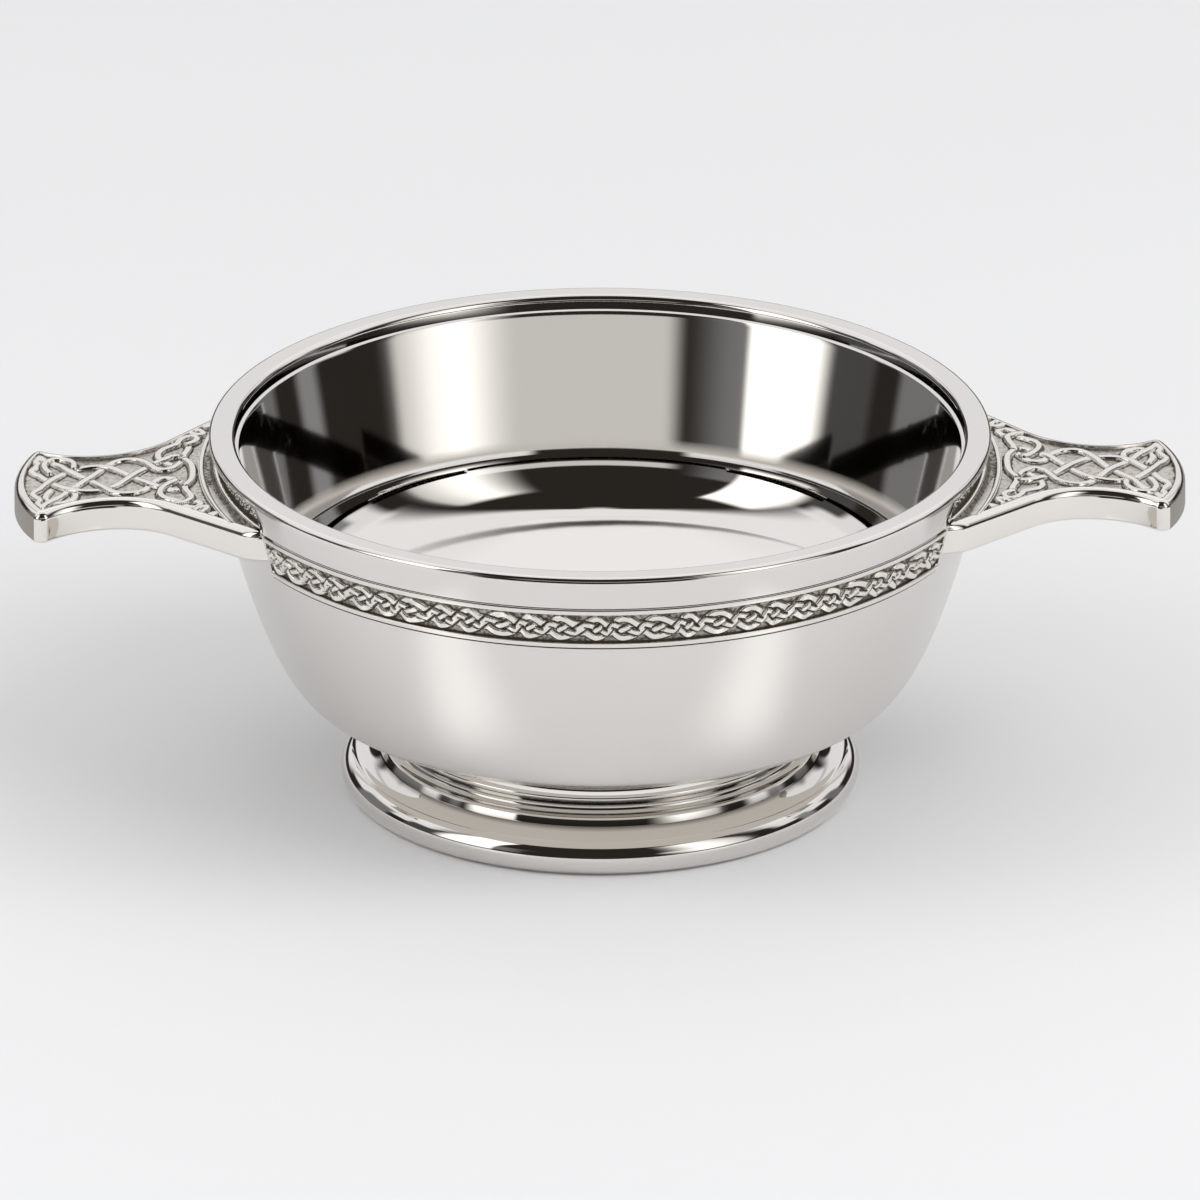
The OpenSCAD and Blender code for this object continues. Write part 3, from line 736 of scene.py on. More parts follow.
def lug_side(inset, root_r):
    """Two runs of one half of the outline, on the +Y side: from the root circle to the corner,
    and from the corner to the middle of the bowed end."""
    tip = np.array([LUG_END - TIP_R, 0])
    waist = np.array([WAIST_X, WAIST_HALF + WAIST_R])
    small = max(CORNER_R - inset, 0.2)
    from_tip, from_waist = TIP_R - inset - small, WAIST_R + inset + small
    span = np.linalg.norm(waist - tip)
    ahead = (waist - tip) / span
    along = (from_tip**2 - from_waist**2 + span**2) / (2 * span)
    corner = tip + along * ahead + np.sqrt(from_tip**2 - along**2) * ahead[::-1] * (1, -1)
    waist_end = 360 + heading(corner - waist)
    tip_turn = heading(corner - tip)
    middle_turn = (waist_end - 180 + tip_turn) / 2
    spread_point = waist - WAIST_R * turn(90 - SPREAD)
    shoulder_y = HALF_ROOT - SHOULDER_R
    rise = shoulder_y + SHOULDER_R * np.cos(np.radians(SPREAD)) - spread_point[1]
    shoulder_x = spread_point[0] - rise / np.tan(np.radians(SPREAD))
    shoulder = np.array([shoulder_x - SHOULDER_R * np.sin(np.radians(SPREAD)), shoulder_y])
    side = chain(
        [(shoulder[0] - 4, HALF_ROOT - inset)],
        arc(shoulder, SHOULDER_R - inset, 90, 90 - SPREAD, 60),
        arc(waist, WAIST_R + inset, 270 - SPREAD, waist_end, 200),
        arc(corner, small, waist_end - 180, middle_turn, 20),
    )
    far = np.linalg.norm(side, axis=1)
    first = np.argmax(far > root_r)
    t = (root_r - far[first - 1]) / (far[first] - far[first - 1])
    start = side[first - 1] + t * (side[first] - side[first - 1])
    bow = arc(tip, TIP_R - inset, tip_turn, 0, 80)
    end = chain(arc(corner, small, middle_turn, tip_turn, 20), bow)
    return chain([start], side[first:]), end


def lug_ring(depth, inset, root_r):
    """One outline in four runs: side, end, other side and root, each with a fixed number of points.
    Heights follow the leaning top, less the depth."""
    side, end = lug_side(inset, root_r)
    side = spread_evenly(side, SIDE_STEPS)
    end = spread_evenly(chain(end, end[::-1] * (1, -1)), END_STEPS)
    half_angle = heading(side[0])
    root = arc((0, 0), root_r, -half_angle, half_angle, END_STEPS)
    flat = np.vstack([side[:-1], end[:-1], (side * (1, -1))[::-1][:-1], root[:-1]])
    return np.column_stack([flat, lug_plane(flat[:, 0], depth)])


def patch(ring):
    """Surface between the four runs of a ring (a Coons patch): the blend of the two sides, plus
    the blend of the two ends, less the blend of the four corners."""
    n, m = SIDE_STEPS - 1, END_STEPS - 1
    loop = np.vstack([ring, ring[:1]])
    upper = loop[: n + 1]
    end = loop[n : n + m + 1][::-1]
    lower = loop[n + m : 2 * n + m + 1][::-1]
    root = loop[2 * n + m :]
    u = np.linspace(0, 1, SIDE_STEPS)[:, None, None]
    w = np.linspace(0, 1, END_STEPS)[None, :, None]
    sides = (1 - w) * lower[:, None] + w * upper[:, None]
    ends = (1 - u) * root[None] + u * end[None]
    corners = (1 - u) * ((1 - w) * root[0] + w * root[-1]) + u * ((1 - w) * end[0] + w * end[-1])
    return sides + ends - corners


print(f"lug waist {2 * WAIST_HALF:.1f} mm, field from R {FIELD_ROOT_R:.1f} mm")

# %% [markdown]
# ### Drawing and weaving the lug's knot
# The knot is drawn as four strands and their mirror images. A long strand leaves the root in a
# loop, swings over the waist and ends in the far corner. A second one dives the other way and runs
# on along the bowed end. A third makes the loop in each corner of the end and a fourth the loop at
# the root, with small rings behind it. Each strand is a smooth curve through a few listed points,
# given as distance from the cup's axis and distance from the lug's middle line. Which strand goes
# over is worked out: we find the crossings, and along every strand we go over and under in turn.

# %% Strands of the lug's knot
SWING = [
    (55.2, 10.6), (54.2, 10.2), (53.4, 9.2), (53.5, 7.8), (54.0, 6.2), (54.2, 4.6), (54.7, 3.1),
    (55.6, 1.8), (56.7, 1.3), (57.8, 1.9), (58.5, 3.2), (59.3, 4.7), (60.5, 5.6), (62.0, 5.8),
    (63.3, 5.2), (64.3, 3.9), (65.2, 2.3), (66.2, 0.6), (67.3, -0.9), (68.4, -2.3), (69.3, -3.5),
    (69.9, -4.7), (70.5, -5.7), (71.3, -6.6), (72.1, -7.6), (72.7, -8.8),
]
DIVE = [
    (54.9, 5.7), (55.9, 5.4), (57.0, 4.5), (58.3, 3.5), (59.4, 2.1), (60.6, 0.5), (61.9, -1.4),
    (63.2, -2.9), (64.4, -3.7), (65.8, -4.1), (67.3, -4.0), (68.6, -3.5), (69.6, -2.7), (70.6, -1.5),
    (71.5, -0.2), (72.3, 1.2), (72.9, 2.4), (73.6, 3.3), (73.9, 4.3), (73.4, 5.4), (73.0, 6.4),
    (73.3, 7.5), (72.9, 8.9),
]
END_LOOP = [
    (68.4, 4.2), (68.4, 5.6), (69.1, 6.8), (70.4, 7.5), (71.6, 7.1), (72.2, 5.9), (72.1, 4.4),
    (71.6, 3.0),
]
ROOT_LOOP = [
    (55.3, 2.7), (56.3, 3.7), (57.1, 5.1), (57.4, 6.7), (56.9, 8.1), (55.8, 9.0), (54.9, 9.7),
    (54.5, 10.8), (53.8, 11.8), (52.8, 12.1), (52.2, 11.2), (52.6, 10.2), (53.4, 9.6),
]
ROOT_BRACKET = [(53.9, 4.3), (53.2, 2.6), (53.0, 0.0), (53.2, -2.6), (53.9, -4.3)]
RINGS = [((52.3, 13.5), (0.62, 1.25), -38), ((51.0, 15.7), (0.3, 0.9), -42)]
CURVE_STEPS = 14


def curve_through(points):
    """Smooth curve through points (a Catmull-Rom spline): between two points the cubic whose end
    slopes are half the step from the point before to the point after."""
    p = np.asarray(points, float)
    before, after = np.vstack([p[:1], p[:-2]]), np.vstack([p[2:], p[-1:]])
    a, b = p[:-1, None], p[1:, None]
    slope_a, slope_b = (b - before[:, None]) / 2, (after[:, None] - a) / 2
    t = np.linspace(0, 1, CURVE_STEPS, endpoint=False)[None, :, None]
    curve = (
        a * (2 * t**3 - 3 * t**2 + 1) + slope_a * (t**3 - 2 * t**2 + t)
        + b * (3 * t**2 - 2 * t**3) + slope_b * (t**3 - t**2)
    )
    return np.vstack([curve.reshape(-1, 2), p[-1:]])


def oval(centre, radii, tilt):
    """Closed ring: an ellipse with its long axis turned by tilt degrees."""
    flat = turn(np.linspace(0, 360, 3 * CURVE_STEPS + 1)) * radii
    c, s = turn(tilt)
    return np.asarray(centre) + flat @ np.array([[c, s], [-s, c]])


half_knot = [curve_through(points) for points in (SWING, DIVE, END_LOOP, ROOT_LOOP)]
half_knot += [oval(*ring) for ring in RINGS]
LUG_STRANDS = [strand * (1, side) for strand in half_knot for side in (1, -1)]
LUG_STRANDS.append(curve_through(ROOT_BRACKET))
print("strands on a lug:", len(LUG_STRANDS))


# %% Over and under
def crossings(a, b):
    """Places where two broken lines cross, counted in steps along each. Two steps p + t r and
    q + u s cross where t and u, from the cross products, both lie between 0 and 1."""
    r, s = np.diff(a, axis=0)[:, None], np.diff(b, axis=0)[None]
    gap = b[None, :-1] - a[:-1, None]
    area = r[..., 0] * s[..., 1] - r[..., 1] * s[..., 0]
    area = np.where(np.abs(area) < 1e-9, np.inf, area)
    t = (gap[..., 0] * s[..., 1] - gap[..., 1] * s[..., 0]) / area
    u = (gap[..., 0] * r[..., 1] - gap[..., 1] * r[..., 0]) / area
    i, j = np.nonzero((t > 0) & (t <= 1) & (u > 0) & (u <= 1))
    return i + t[i, j], j + u[i, j]


def weave(strands):
    """Lift along each strand: 1 where it goes over, -1 where it goes under, eased between. A strand
    takes turns, and the two strands at a crossing differ, so one choice settles all it meets."""
    visits = [[] for _ in strands]
    pairs = []
    for a in range(len(strands)):
        for b in range(a, len(strands)):
            for i, j in zip(*crossings(strands[a], strands[b])):
                if a != b or j - i > 2:
                    visits[a].append((i, len(pairs)))
                    visits[b].append((j, len(pairs)))
                    pairs.append((a, b))
    turns = [{} for _ in strands]
    for strand, seen in enumerate(visits):
        seen.sort()
        for k, (_, crossing) in enumerate(seen):
            turns[strand].setdefault(crossing, k)
    first = {}
    for seed in range(len(strands)):
        first.setdefault(seed, 0)
        queue = [seed]
        while queue:
            here = queue.pop()
            for crossing, k in turns[here].items():
                there = pairs[crossing][0] + pairs[crossing][1] - here
                if there not in first:
                    first[there] = (1 + k + turns[there][crossing] + first[here]) % 2
                    queue.append(there)
    lifts = []
    for strand, seen in enumerate(visits):
        places = [place for place, _ in seen] or [0]
        sides = [1 - 2 * ((k + first[strand]) % 2) for k in range(len(places))]
        steps = np.arange(len(strands[strand]))
        lifts.append(np.sin(np.pi / 2 * np.interp(steps, places, sides)))
    return lifts


def knot_relief(points, strands, half_width, height, swing):
    """Relief and lines of woven strands at points of a plane, from the nearest place on each."""
    points, distances, lifts = points.astype(np.float32), [], []
    for strand, lift in zip(strands, weave(strands)):
        apart = np.linalg.norm(points[:, None] - strand[None].astype(np.float32), axis=2)
        nearest = apart.argmin(axis=1)
        distances.append(apart[np.arange(len(points)), nearest].astype(float))
        lifts.append(lift[nearest])
    return woven(distances, lifts, [half_width] * len(strands), height, swing)


# %% [markdown]
# ### The plate of a lug
# Outlines are stacked from the underside up the side and over the rounded edge to a narrow border,
# then down to the field. The field is a patch with the knot's relief added to its height. The faces
# at the root are hidden against the bowl and painted dark as shade, like the backs of the strips.

# %% The plate of a lug
LUG_STRAND_W, LUG_STRAND_H, LUG_SWING = 1.14, 0.46, 0.2
LIP_SLOPE, LIP_EASE = 0.1, 0.12


def lug_plate(shell):
    """Outlines from the underside to the field, and the field, which carries the knot's relief."""
    under, over = turn(np.linspace(90, 0, 6)), turn(np.linspace(0, 90, 10))
    bottom = [(LUG_T - LUG_UNDER_EDGE * (1 - y), LUG_UNDER_EDGE * (1 - x)) for x, y in under]
    top = [(LUG_EDGE * (1 - y), LUG_EDGE * (1 - x)) for x, y in over]
    inset = LUG_EDGE + LUG_BORDER
    lip_in = eased([(0, LUG_EDGE), (0, inset), (LUG_SINK, inset + LIP_SLOPE)], LIP_EASE, 5)[1:]
    rings = []
    for depth, draw_in in bottom + top:
        root_r = wall_r(min(lug_plane(ROOT_X, depth), APRON_Z)) + SOLDER
        rings.append(lug_ring(depth, draw_in, root_r))
    rings = np.array(rings + [lug_ring(depth, draw_in, FIELD_ROOT_R) for depth, draw_in in lip_in])
    first, count = shell.count, rings.shape[1]
    ground, dark = np.zeros(rings.shape[:2]), np.zeros(rings.shape[:2])
    # Painted shade on the inner slope of the border, down to the field.
    dark[-1], dark[-2], ground[-1] = 0.6, 0.3, 1
    root_run = slice(2 * SIDE_STEPS + END_STEPS - 1, -2)
    # The hidden faces at the root are painted dark as shade.
    dark[: len(bottom) + len(top), root_run] = 1
    shell.add(rings, grid_faces(len(rings), count, close_columns=True), ground=ground, line=dark)
    shell.faces.append(list(range(first, first + count)))
    field = patch(rings[-1])
    flat = field[1:-1, 1:-1, :2].reshape(-1, 2)
    knot = knot_relief(flat, LUG_STRANDS, LUG_STRAND_W / 2, LUG_STRAND_H, LUG_SWING)
    relief, lines = (np.pad(a.reshape(SIDE_STEPS - 2, END_STEPS - 2), 1) for a in knot)
    field[..., 2] += relief
    ground = 1 - smooth_step(relief / (0.6 * LUG_STRAND_H))
    i, j = np.arange(SIDE_STEPS)[:, None], np.arange(END_STEPS)[None]
    steps_in = np.minimum(np.minimum(i, i[::-1]), np.minimum(j, j[:, ::-1]))
    # The ground next to the border gets painted shade, besides the knot's lines.
    dark = np.maximum(lines, 0.6 * ground * (1 - smooth_step(steps_in / 4)))
    shell.add(field, grid_faces(SIDE_STEPS, END_STEPS), ground=ground, line=dark)


# %% [markdown]
# ### The back of a lug
# Towards the bowl the lug rises to the rim: a ridge, a cove, a second ridge and an upright panel
# with a fine plait. This outline is carried round the cup's axis. The wider a ring of it, the sooner
# it meets the border of the lug, where it ends: that draws the ridges together at the shoulders.

# %% The back of a lug
PANEL_T, PANEL_SINK, RIDGE_RISE = 1.35, 0.25, 1.0
PANEL_COLUMNS, PANEL_ROWS = 312, 22
PANEL_SWINGS, PANEL_HALVES = (0.72, 0.4, 0.72, 0.4), (0.2, 0.17, 0.2, 0.17)
PANEL_WAVE, PANEL_STRAND_H, PANEL_LIFT = 3.4, 0.24, 0.3
BACK_PATINA, COVE_PATINA_AND_SHADE, RIDGE_PATINA_AND_SHADE = 0.12, 0.45, 0.9


def lug_back(shell):
    """Ridge, cove, second ridge and panel, carried round the axis and closed at both ends."""
    foot, field = wall_r(APRON_Z) + SOLDER, FIELD_ROOT_R
    face, seat = SEAT_R + SOLDER + PANEL_T, SEAT_R + 2 * SOLDER
    top, low = CUP_H - RIM_OVER_LUG - SOLDER, lug_plane(FIELD_ROOT_R, 0)
    ridge = low + RIDGE_RISE
    cove = eased(
        [
            (field - 0.02, low - 0.3), (field - 0.1, low + 0.3), (field - 0.55, low + 0.3),
            (field - 0.75, low + 0.06), (face + 1.15, low + 0.14), (face + 0.75, ridge - 0.3),
            (face + 0.6, ridge), (face + 0.25, ridge + 0.05), (face, ridge - 0.12),
        ],
        0.2,
        6,
    )
    sunk = face - PANEL_SINK
    panel = line((sunk, ridge - 0.05), (sunk, top - 0.05), PANEL_ROWS)
    hidden = [(sunk, top), (seat, top), (seat, low - 0.6), (foot + 0.4, low - 0.8)]
    section = np.vstack([cove, panel, hidden])
    edge = np.arcsin(HALF_ROOT / wall_r(APRON_Z)) - SOLDER / foot
    ends = np.full(len(section), edge)
    for k in np.flatnonzero(section[:, 0] > foot + 0.1):
        start = lug_side(LUG_EDGE, section[k, 0])[0][0]
        ends[k] = min(edge, np.arctan2(start[1], start[0]))
    ends[-1] = ends[len(cove) // 2]
    spread = np.linspace(-1, 1, PANEL_COLUMNS)[:, None]
    r, z = (np.repeat(section[None, :, i], PANEL_COLUMNS, 0) for i in (0, 1))
    rows = slice(len(cove) + 1, len(cove) + PANEL_ROWS - 1)
    s, v = spread * edge * face, z[:, rows] - (ridge + top) / 2
    relief, lines = plait_relief(
        s, v, PANEL_WAVE, PANEL_SWINGS, PANEL_HALVES, PANEL_STRAND_H, PANEL_LIFT
    )
    r[:, rows] += relief
    ground, dark = np.zeros(r.shape), np.full(r.shape, BACK_PATINA)
    ground[:, rows] = 1 - smooth_step(relief / 0.14)
    dark[:, rows] = np.maximum(lines, 0.6 * ground[:, rows])
    # Patina and painted shade in the cove's valley and in the crease where the ridge meets the
    # panel.
    in_cove = (section[:, 0] < field - 0.6) & (section[:, 0] > face + 0.7)
    valley = in_cove & (section[:, 1] > low - 0.2)
    ground[:, valley], dark[:, valley] = 1, COVE_PATINA_AND_SHADE
    dark[:, len(cove) - 2 : len(cove) + 1] = RIDGE_PATINA_AND_SHADE
    # The hidden faces are painted dark as shade.
    dark[:, -len(hidden) :] = 1
    points = np.stack([r * np.cos(spread * ends), r * np.sin(spread * ends), z], -1)
    first, count = shell.count, len(section)
    shell.add(points, grid_faces(PANEL_COLUMNS, count, close_columns=True), ground=ground, line=dark)
    shell.faces.append(list(range(first, first + count)))
    shell.faces.append(list(range(shell.count - count, shell.count)))


# %% Both lugs
def make_lugs():
    """The right lug, and the left one as the same lug turned half round: (-x, -y, z)."""
    shell = Shell()
    lug_plate(shell)
    lug_back(shell)
    make_piece("lug_right_cast", shell, ["lug_right"], KNOTWORK, sharp=60)
    shell.points = [points * (-1, -1, 1) for points in shell.points]
    make_piece("lug_left_cast", shell, ["lug_left"], KNOTWORK, sharp=60)


make_lugs()

# %% [markdown]
# ## The studio
# Polished metal is lit by what it mirrors, so a studio for metal is mostly cards. A pale floor makes
# the outside of the bowl pale, a pale backdrop whitens the flat rim, and the dark room in front
# draws the black lines on every moulding. The cards shine, but only mirrors see them: they give no
# light and the camera looks through them, so each can be moved without a change to the rest.

# %% The floor
FLOOR_REACH = 6.0
FLOOR_PALE = (0.80, 0.80, 0.81, 1)


def stage_piece(name, points, faces, material):
    """A piece of the studio, which isn't part of the cup."""
    mesh = bpy.data.meshes.new(name)
    mesh.from_pydata(np.asarray(points, float).reshape(-1, 3), [], faces)
    mesh.shade_smooth()
    mesh.materials.append(material)
    piece = bpy.data.objects.new(name, mesh)
    bpy.context.scene.collection.objects.link(piece)
    return piece


def floor_paper():
    """Pale matt paper."""
    material, f = new_finish("floor_paper")
    inputs = {"Base Color": FLOOR_PALE, "Roughness": 0.6, "Specular IOR Level": 0.0}
    paper = f.node("ShaderNodeBsdfPrincipled", inputs=inputs)
    f.node("ShaderNodeOutputMaterial", inputs={"Surface": paper})
    return material


corners = [(x * FLOOR_REACH, y * FLOOR_REACH, 0) for x, y in ((-1, -1), (1, -1), (1, 1), (-1, 1))]
stage_piece("floor", corners, [[0, 1, 2, 3]], floor_paper())
print(f"floor: {2 * FLOOR_REACH:.0f} m square")

# %% [markdown]
# ### Cards round the cup
# Each card is a part of a sphere about the cup, with edges that fade. The rim, the dish and the tops
# of the lugs look up and back, to the backdrop, the ceiling and the side walls. The inner wall looks
# to the front: to a grey card in the middle, a dim gap beside it, two white soft boxes and dim
# strips at the sides. A black flag stands low and close to the cup. The foot sees it in front of the
# grey card, and the inner wall looks over it.

# %% Card helpers
CARD_STEPS = 61


def glow(name, colour, strength):
    """A card that shines evenly and turns clear at its edges, where the value fade goes to 0."""
    material, f = new_finish(name)
    clear = f.node("ShaderNodeBsdfTransparent")
    light = f.node("ShaderNodeEmission", inputs={"Color": colour, "Strength": strength})
    both = f.node("ShaderNodeMixShader", inputs={0: point_value(f, "fade"), 1: clear, 2: light})
    f.node("ShaderNodeOutputMaterial", inputs={"Surface": both})
    return material


def card(name, points, fade, colour, strength=1.0, close_rows=False):
    """A grid of points in metres that shows in mirrors and nowhere else, with a fade on each."""
    faces = grid_faces(*points.shape[:2], close_rows=close_rows)
    piece = stage_piece(name, points, faces, glow(f"{name}_glow", colour, strength))
    layer = piece.data.attributes.new("fade", "FLOAT", "POINT")
    layer.data.foreach_set("value", np.broadcast_to(fade, points.shape[:2]).ravel())
    piece.visible_camera = piece.visible_diffuse = piece.visible_shadow = False


def edge_fade(places, ends, soft):
    """1 within a range and 0 at its two ends, with an eased edge of its own width at each."""
    return smooth_step(np.minimum((places - ends[0]) / soft[0], (ends[1] - places) / soft[1]))


def sky_patch(name, reach, azimuths, elevations, colour, strength, soft):
    """Part of a sphere. Azimuth 0 is the front, towards the camera: (r sin a cos e, -r cos a cos e,
    r sin e). soft gives the width of the faded edges in degrees: at the first azimuth, at the last
    one, and above and below."""
    az = np.linspace(*azimuths, CARD_STEPS)[:, None]
    el = np.linspace(*elevations, CARD_STEPS)[None]
    a, e = np.radians(az), np.radians(el)
    sphere = [np.sin(a) * np.cos(e), -np.cos(a) * np.cos(e), np.sin(e) + 0 * a]
    fade = edge_fade(az, azimuths, soft[:2]) * edge_fade(el, elevations, (soft[2], soft[2]))
    card(name, reach * np.stack(sphere, -1), fade, colour, strength)


# %% Cards
BACKDROP_PALE = (0.9, 0.9, 0.91, 1)
BOX_WHITE = (1, 0.985, 0.955, 1)
CARD_GREY = (0.69, 0.68, 0.66, 1)
GAP_GREY = (0.2, 0.2, 0.2, 1)
ROOM_DARK = (0.026, 0.022, 0.019, 1)
CARDS = [  # name, distance in metres, azimuths, elevations, colour, strength, soft edges
    ("backdrop", 5.0, (143, 217), (7, 78), BACKDROP_PALE, 1.0, (12, 12, 3)),
    ("upper_backdrop", 4.9, (143, 217), (28, 78), BACKDROP_PALE, 1.18, (12, 12, 8)),
    ("ceiling", 5.2, (72, 288), (30, 95), BACKDROP_PALE, 1.1, (26, 26, 6)),
    ("side_wall_80", 5.4, (80, 152), (13, 40), BACKDROP_PALE, 1.0, (8, 8, 5)),
    ("side_wall_208", 5.4, (208, 280), (13, 40), BACKDROP_PALE, 1.0, (8, 8, 5)),
    ("front_card", 4.8, (-30, 50), (12, 21), CARD_GREY, 1.0, (8, 8, 2)),
    ("gap_card", 4.6, (-52, -28), (5, 30), GAP_GREY, 1.0, (2, 18, 5)),
    ("black_flag", 0.19, (-36, 26), (0, 20), ROOM_DARK, 1.0, (6, 6, 1)),
    ("soft_box_left", 4.0, (-80.5, -48), (2, 58), BOX_WHITE, 1.7, (9, 3, 6)),
    ("soft_box_right", 4.2, (24, 73), (2, 58), BOX_WHITE, 1.7, (26, 32, 6)),
    ("box_frame", 4.3, (44, 69), (2, 58), BOX_WHITE, 0.55, (12, 5, 6)),
]
SIDE_STRIPS = ((94, 108, 0.27), (116, 133, 0.18), (-134, -105, 0.2), (-98, -76, 0.07))
for first, last, grey in SIDE_STRIPS:
    tone = (grey, grey, grey, 1)
    CARDS.append((f"side_strip_{first}", 4.4, (first, last), (-6, 28), tone, 1.0, (5, 5, 6)))
for values in CARDS:
    sky_patch(*values)
print("cards:", len(CARDS))

# %% [markdown]
# ### A seam and a shade
# A dark arch runs over the dish, where it mirrors a seam overhead. We hang the seam where the arch
# needs it, by mirroring the line of sight in a dish that leans by the right angle. The second card
# mends something: the bowl isn't mirrored, so the foot would look through it at the white ceiling.
# A card in the shape of the bowl's underside stands in for it.

# %% Seam and shade
SHEET_DARK = (0.06, 0.056, 0.052, 1)
ELEVATION = 22.2
SEAM_LEAN, SEAM_HALF, SEAM_STEPS, SEAM_REACH = (24.7, 25.7), 62, 9, 4.5
SHADE_WARM = (0.58, 0.55, 0.51, 1)
SHADE_TOP, SHADE_SOFT, SHADE_IN, SHADE_STEPS = 21.0, 4, (0.5, -0.35), 96


def ceiling_seam():
    """Arch of points. A mirror whose normal n leans to the middle by SEAM_LEAN, at the angle a from
    the back, sends the line of sight d to d - 2 (d.n) n, and there the seam is hung."""
    az = np.linspace(-SEAM_HALF, SEAM_HALF, CARD_STEPS)[:, None]
    a, tilt = np.radians(az), np.radians(np.linspace(*SEAM_LEAN, SEAM_STEPS))[None]
    flat = np.sin(tilt)
    normal = np.stack([-flat * np.sin(a), -flat * np.cos(a), np.cos(tilt) + 0 * a], -1)
    sight = np.array([0, *turn(-ELEVATION)])
    points = SEAM_REACH * (sight - 2 * (normal @ sight)[..., None] * normal)
    across = np.linspace(-1, 1, SEAM_STEPS)[None]
    fade = smooth_step(1 - np.abs(az) / SEAM_HALF) * smooth_step(1.5 * (1 - np.abs(across)))
    card("ceiling_seam", points, fade, SHEET_DARK)


def bowl_shade():
    """The outline of the belly, drawn in a little and carried round."""
    outline = np.vstack([wall_run(SHADE_TOP, belly[1], 24), underside[1:]]) - SHADE_IN
    angles = np.linspace(0, 2 * np.pi, SHADE_STEPS, endpoint=False)
    points = turned(np.repeat(outline[None], SHADE_STEPS, 0), angles) * MM
    fade = smooth_step((SHADE_TOP - outline[:, 1]) / SHADE_SOFT)
    card("bowl_shade", points, fade, SHADE_WARM, close_rows=True)


ceiling_seam()
bowl_shade()
print(f"seam at {SEAM_REACH} m, shade below {SHADE_TOP} mm")

# %% [markdown]
# ### Sheets on the floor
# What faces down mirrors the floor. Two small white sheets beside the foot, seen only in mirrors,
# are a painted pool of light that gives the soft bright patch on each side of the bowl. A grey sheet
# behind each lug gives the lug's end face a tone, and far behind it a dark sheet is painted shade on
# the floor.

# %% Sheets on the floor
SHEET_Z = 0.5
SHEET_WHITE = (1.15, 1.15, 1.15, 1)
SHEET_GREY = (0.36, 0.345, 0.33, 1)
WHITE_START, WHITE_START_TURN, WHITE_TURN = 47, 28, 56
WHITE_LONG, WHITE_HALF = (-4, 50), 17
RING_SHEETS = [  # reach in mm, angles from the front, soft edge in mm, colour
    ((88, 420), (93, 168), 35, SHEET_GREY),
    # The far sheet is painted shade on the floor; only mirrors see it.
    ((380, 3000), (60, 176), 120, SHEET_DARK),
]


def floor_sheet(name, x, y, fade, colour):
    """Sheet just over the floor, given in millimetres."""
    card(name, np.stack(np.broadcast_arrays(x, y, SHEET_Z), -1) * MM, fade, colour)


def painted_light_sheet(side):
    """White sheet, a painted pool of light on the floor that only mirrors see. It starts WHITE_START
    from the axis, at WHITE_START_TURN degrees off the front, and runs out in the direction of
    WHITE_TURN degrees."""
    along = np.linspace(*WHITE_LONG, 41)[:, None]
    across = np.linspace(-WHITE_HALF, WHITE_HALF, 29)[None]
    (start_y, start_x), (cos, sin) = WHITE_START * turn(WHITE_START_TURN), turn(WHITE_TURN)
    x, y = start_x + along * sin + across * cos, start_y + along * cos - across * sin
    fade = smooth_step((WHITE_HALF - np.abs(across)) / 16) * edge_fade(along, WHITE_LONG, (22, 8))
    floor_sheet("painted_light_sheet", side * x, -y, fade, SHEET_WHITE)


def ring_sheet(side, reach, sector, soft, colour):
    """Part of a ring between two distances and two angles from the front: (r sin a, -r cos a)."""
    r, a = np.linspace(*reach, 41)[:, None], np.linspace(*sector, 41)[None]
    fade = edge_fade(r, reach, (soft, soft)) * edge_fade(a, sector, (6, 6))
    across, ahead = np.moveaxis(turn(a), -1, 0)[::-1]
    floor_sheet("dark_sheet", side * r * across, -r * ahead, fade, colour)


for side in (-1, 1):
    painted_light_sheet(side)
    for values in RING_SHEETS:
        ring_sheet(side, *values)
print("sheets:", 2 + 2 * len(RING_SHEETS))

# %% [markdown]
# ### Light
# What isn't metal, the floor and the patina, needs real light: an even pale room, a large lamp on
# either side and two small ones close by for the floor beside the foot. Metal sees the room as dark
# and doesn't see the lamps.

# %% Light
ROOM_PALE, ROOM_LEVEL = (1, 1, 1, 1), 0.73


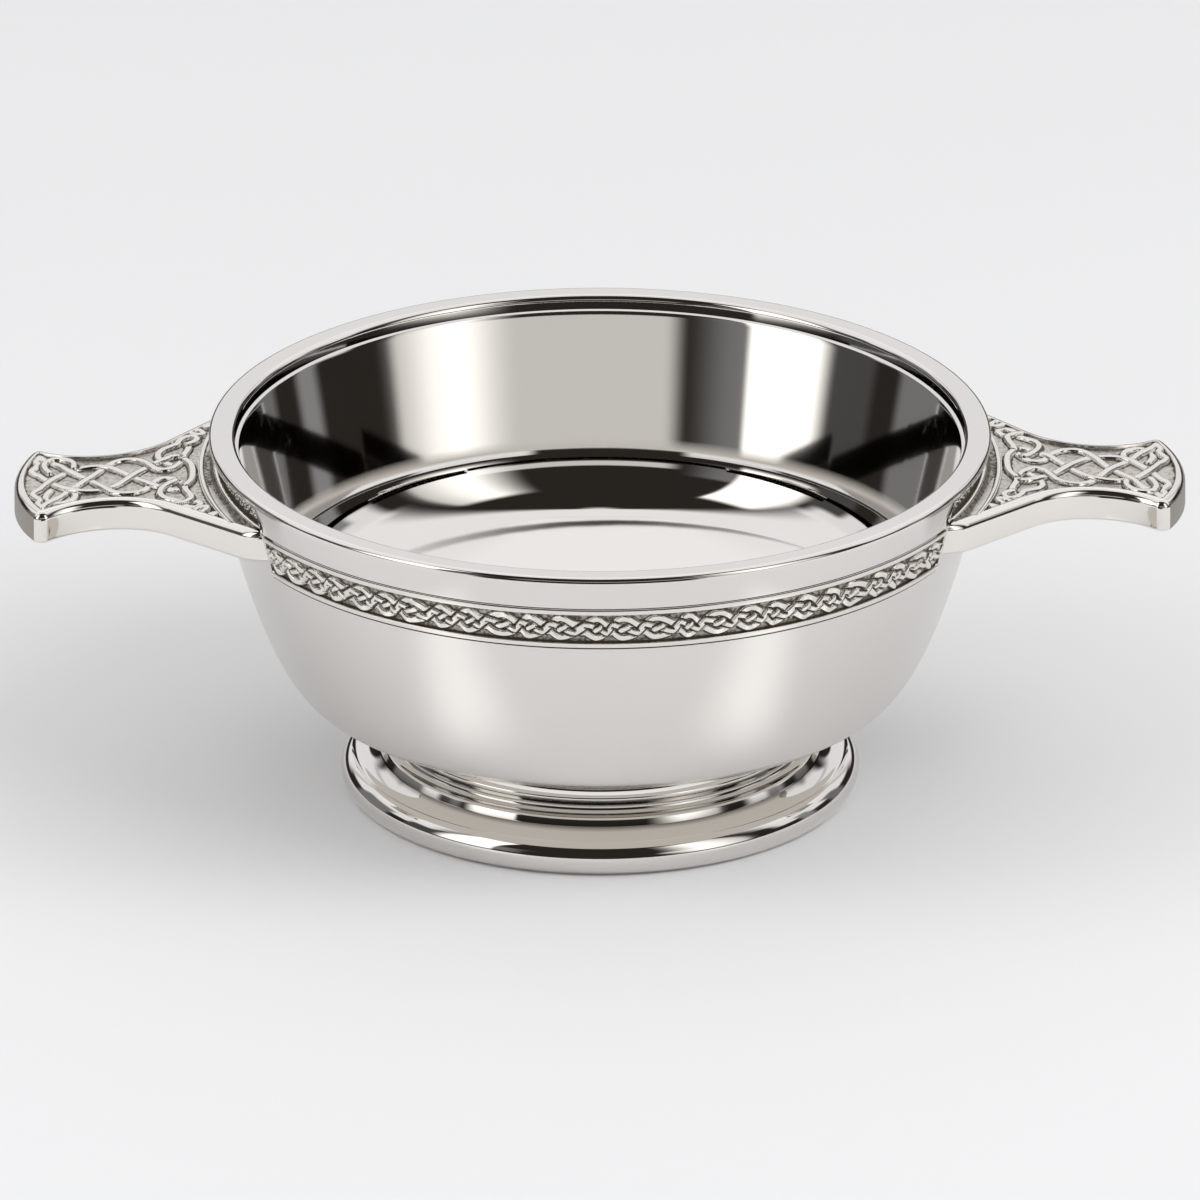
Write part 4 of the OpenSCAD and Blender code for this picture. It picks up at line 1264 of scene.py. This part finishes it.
def light_room():
    """Soft even light all round. In reflections the room itself is dark."""
    world = bpy.data.worlds.new("studio")
    world.use_nodes = True
    bpy.context.scene.world = world
    f = Finish(world.node_tree)
    glossy = f.node("ShaderNodeLightPath", output="Is Glossy Ray")
    pale = f.node("ShaderNodeBackground", inputs={"Color": ROOM_PALE, "Strength": ROOM_LEVEL})
    dark = f.node("ShaderNodeBackground", inputs={"Color": ROOM_DARK, "Strength": 1.0})
    both = f.node("ShaderNodeMixShader", inputs={0: glossy, 1: pale, 2: dark})
    f.node("ShaderNodeOutputWorld", inputs={"Surface": both})


def soft_lamp(name, place, size, power):
    """Square area lamp that looks at the cup and isn't itself mirrored."""
    lamp = bpy.data.lights.new(name, "AREA")
    lamp.size, lamp.energy = size, power
    piece = bpy.data.objects.new(name, lamp)
    piece.location = place
    piece.rotation_euler = (-Vector(place)).to_track_quat("-Z", "Y").to_euler()
    piece.visible_glossy = False
    bpy.context.scene.collection.objects.link(piece)


LAMPS = [  # name, place and size in metres, watts
    ("lamp_right", (1.9, -1.1, 2.0), 2.0, 26),
    ("lamp_left", (-2.0, -1.0, 1.8), 2.0, 9),
    ("fill_right", (0.42, -0.12, 0.34), 0.25, 0.4),
    ("fill_left", (-0.42, -0.08, 0.34), 0.25, 0.36),
]
light_room()
for values in LAMPS:
    soft_lamp(*values)
print("lamps:", len(LAMPS))

# %% [markdown]
# ## The camera
# The photograph hardly narrows towards the back, so it is taken from far away with a long lens, a
# little to the left of the middle and from 22 degrees above. The camera looks at a point on the
# cup's axis.

# %% Camera
AIM_Z, DISTANCE, AZIMUTH = 25.35 * MM, 6.0, -1.6
LENS, SENSOR = 1382, 36


def set_camera():
    """Camera on a sphere about the aim: back = (sin a cos e, -cos a cos e, sin e)."""
    a, e = np.radians(AZIMUTH), np.radians(ELEVATION)
    back = Vector((np.sin(a) * np.cos(e), -np.cos(a) * np.cos(e), np.sin(e)))
    data = bpy.data.cameras.new("camera")
    data.lens, data.sensor_width = LENS, SENSOR
    camera = bpy.data.objects.new("camera", data)
    camera.location = Vector((0, 0, AIM_Z)) + back * DISTANCE
    camera.rotation_euler = (-back).to_track_quat("-Z", "Y").to_euler()
    bpy.context.scene.collection.objects.link(camera)
    bpy.context.scene.camera = camera


set_camera()
bpy.context.scene.view_settings.view_transform = "Standard"
print(f"camera: {DISTANCE} m away, {ELEVATION} degrees up, lens {LENS} mm")
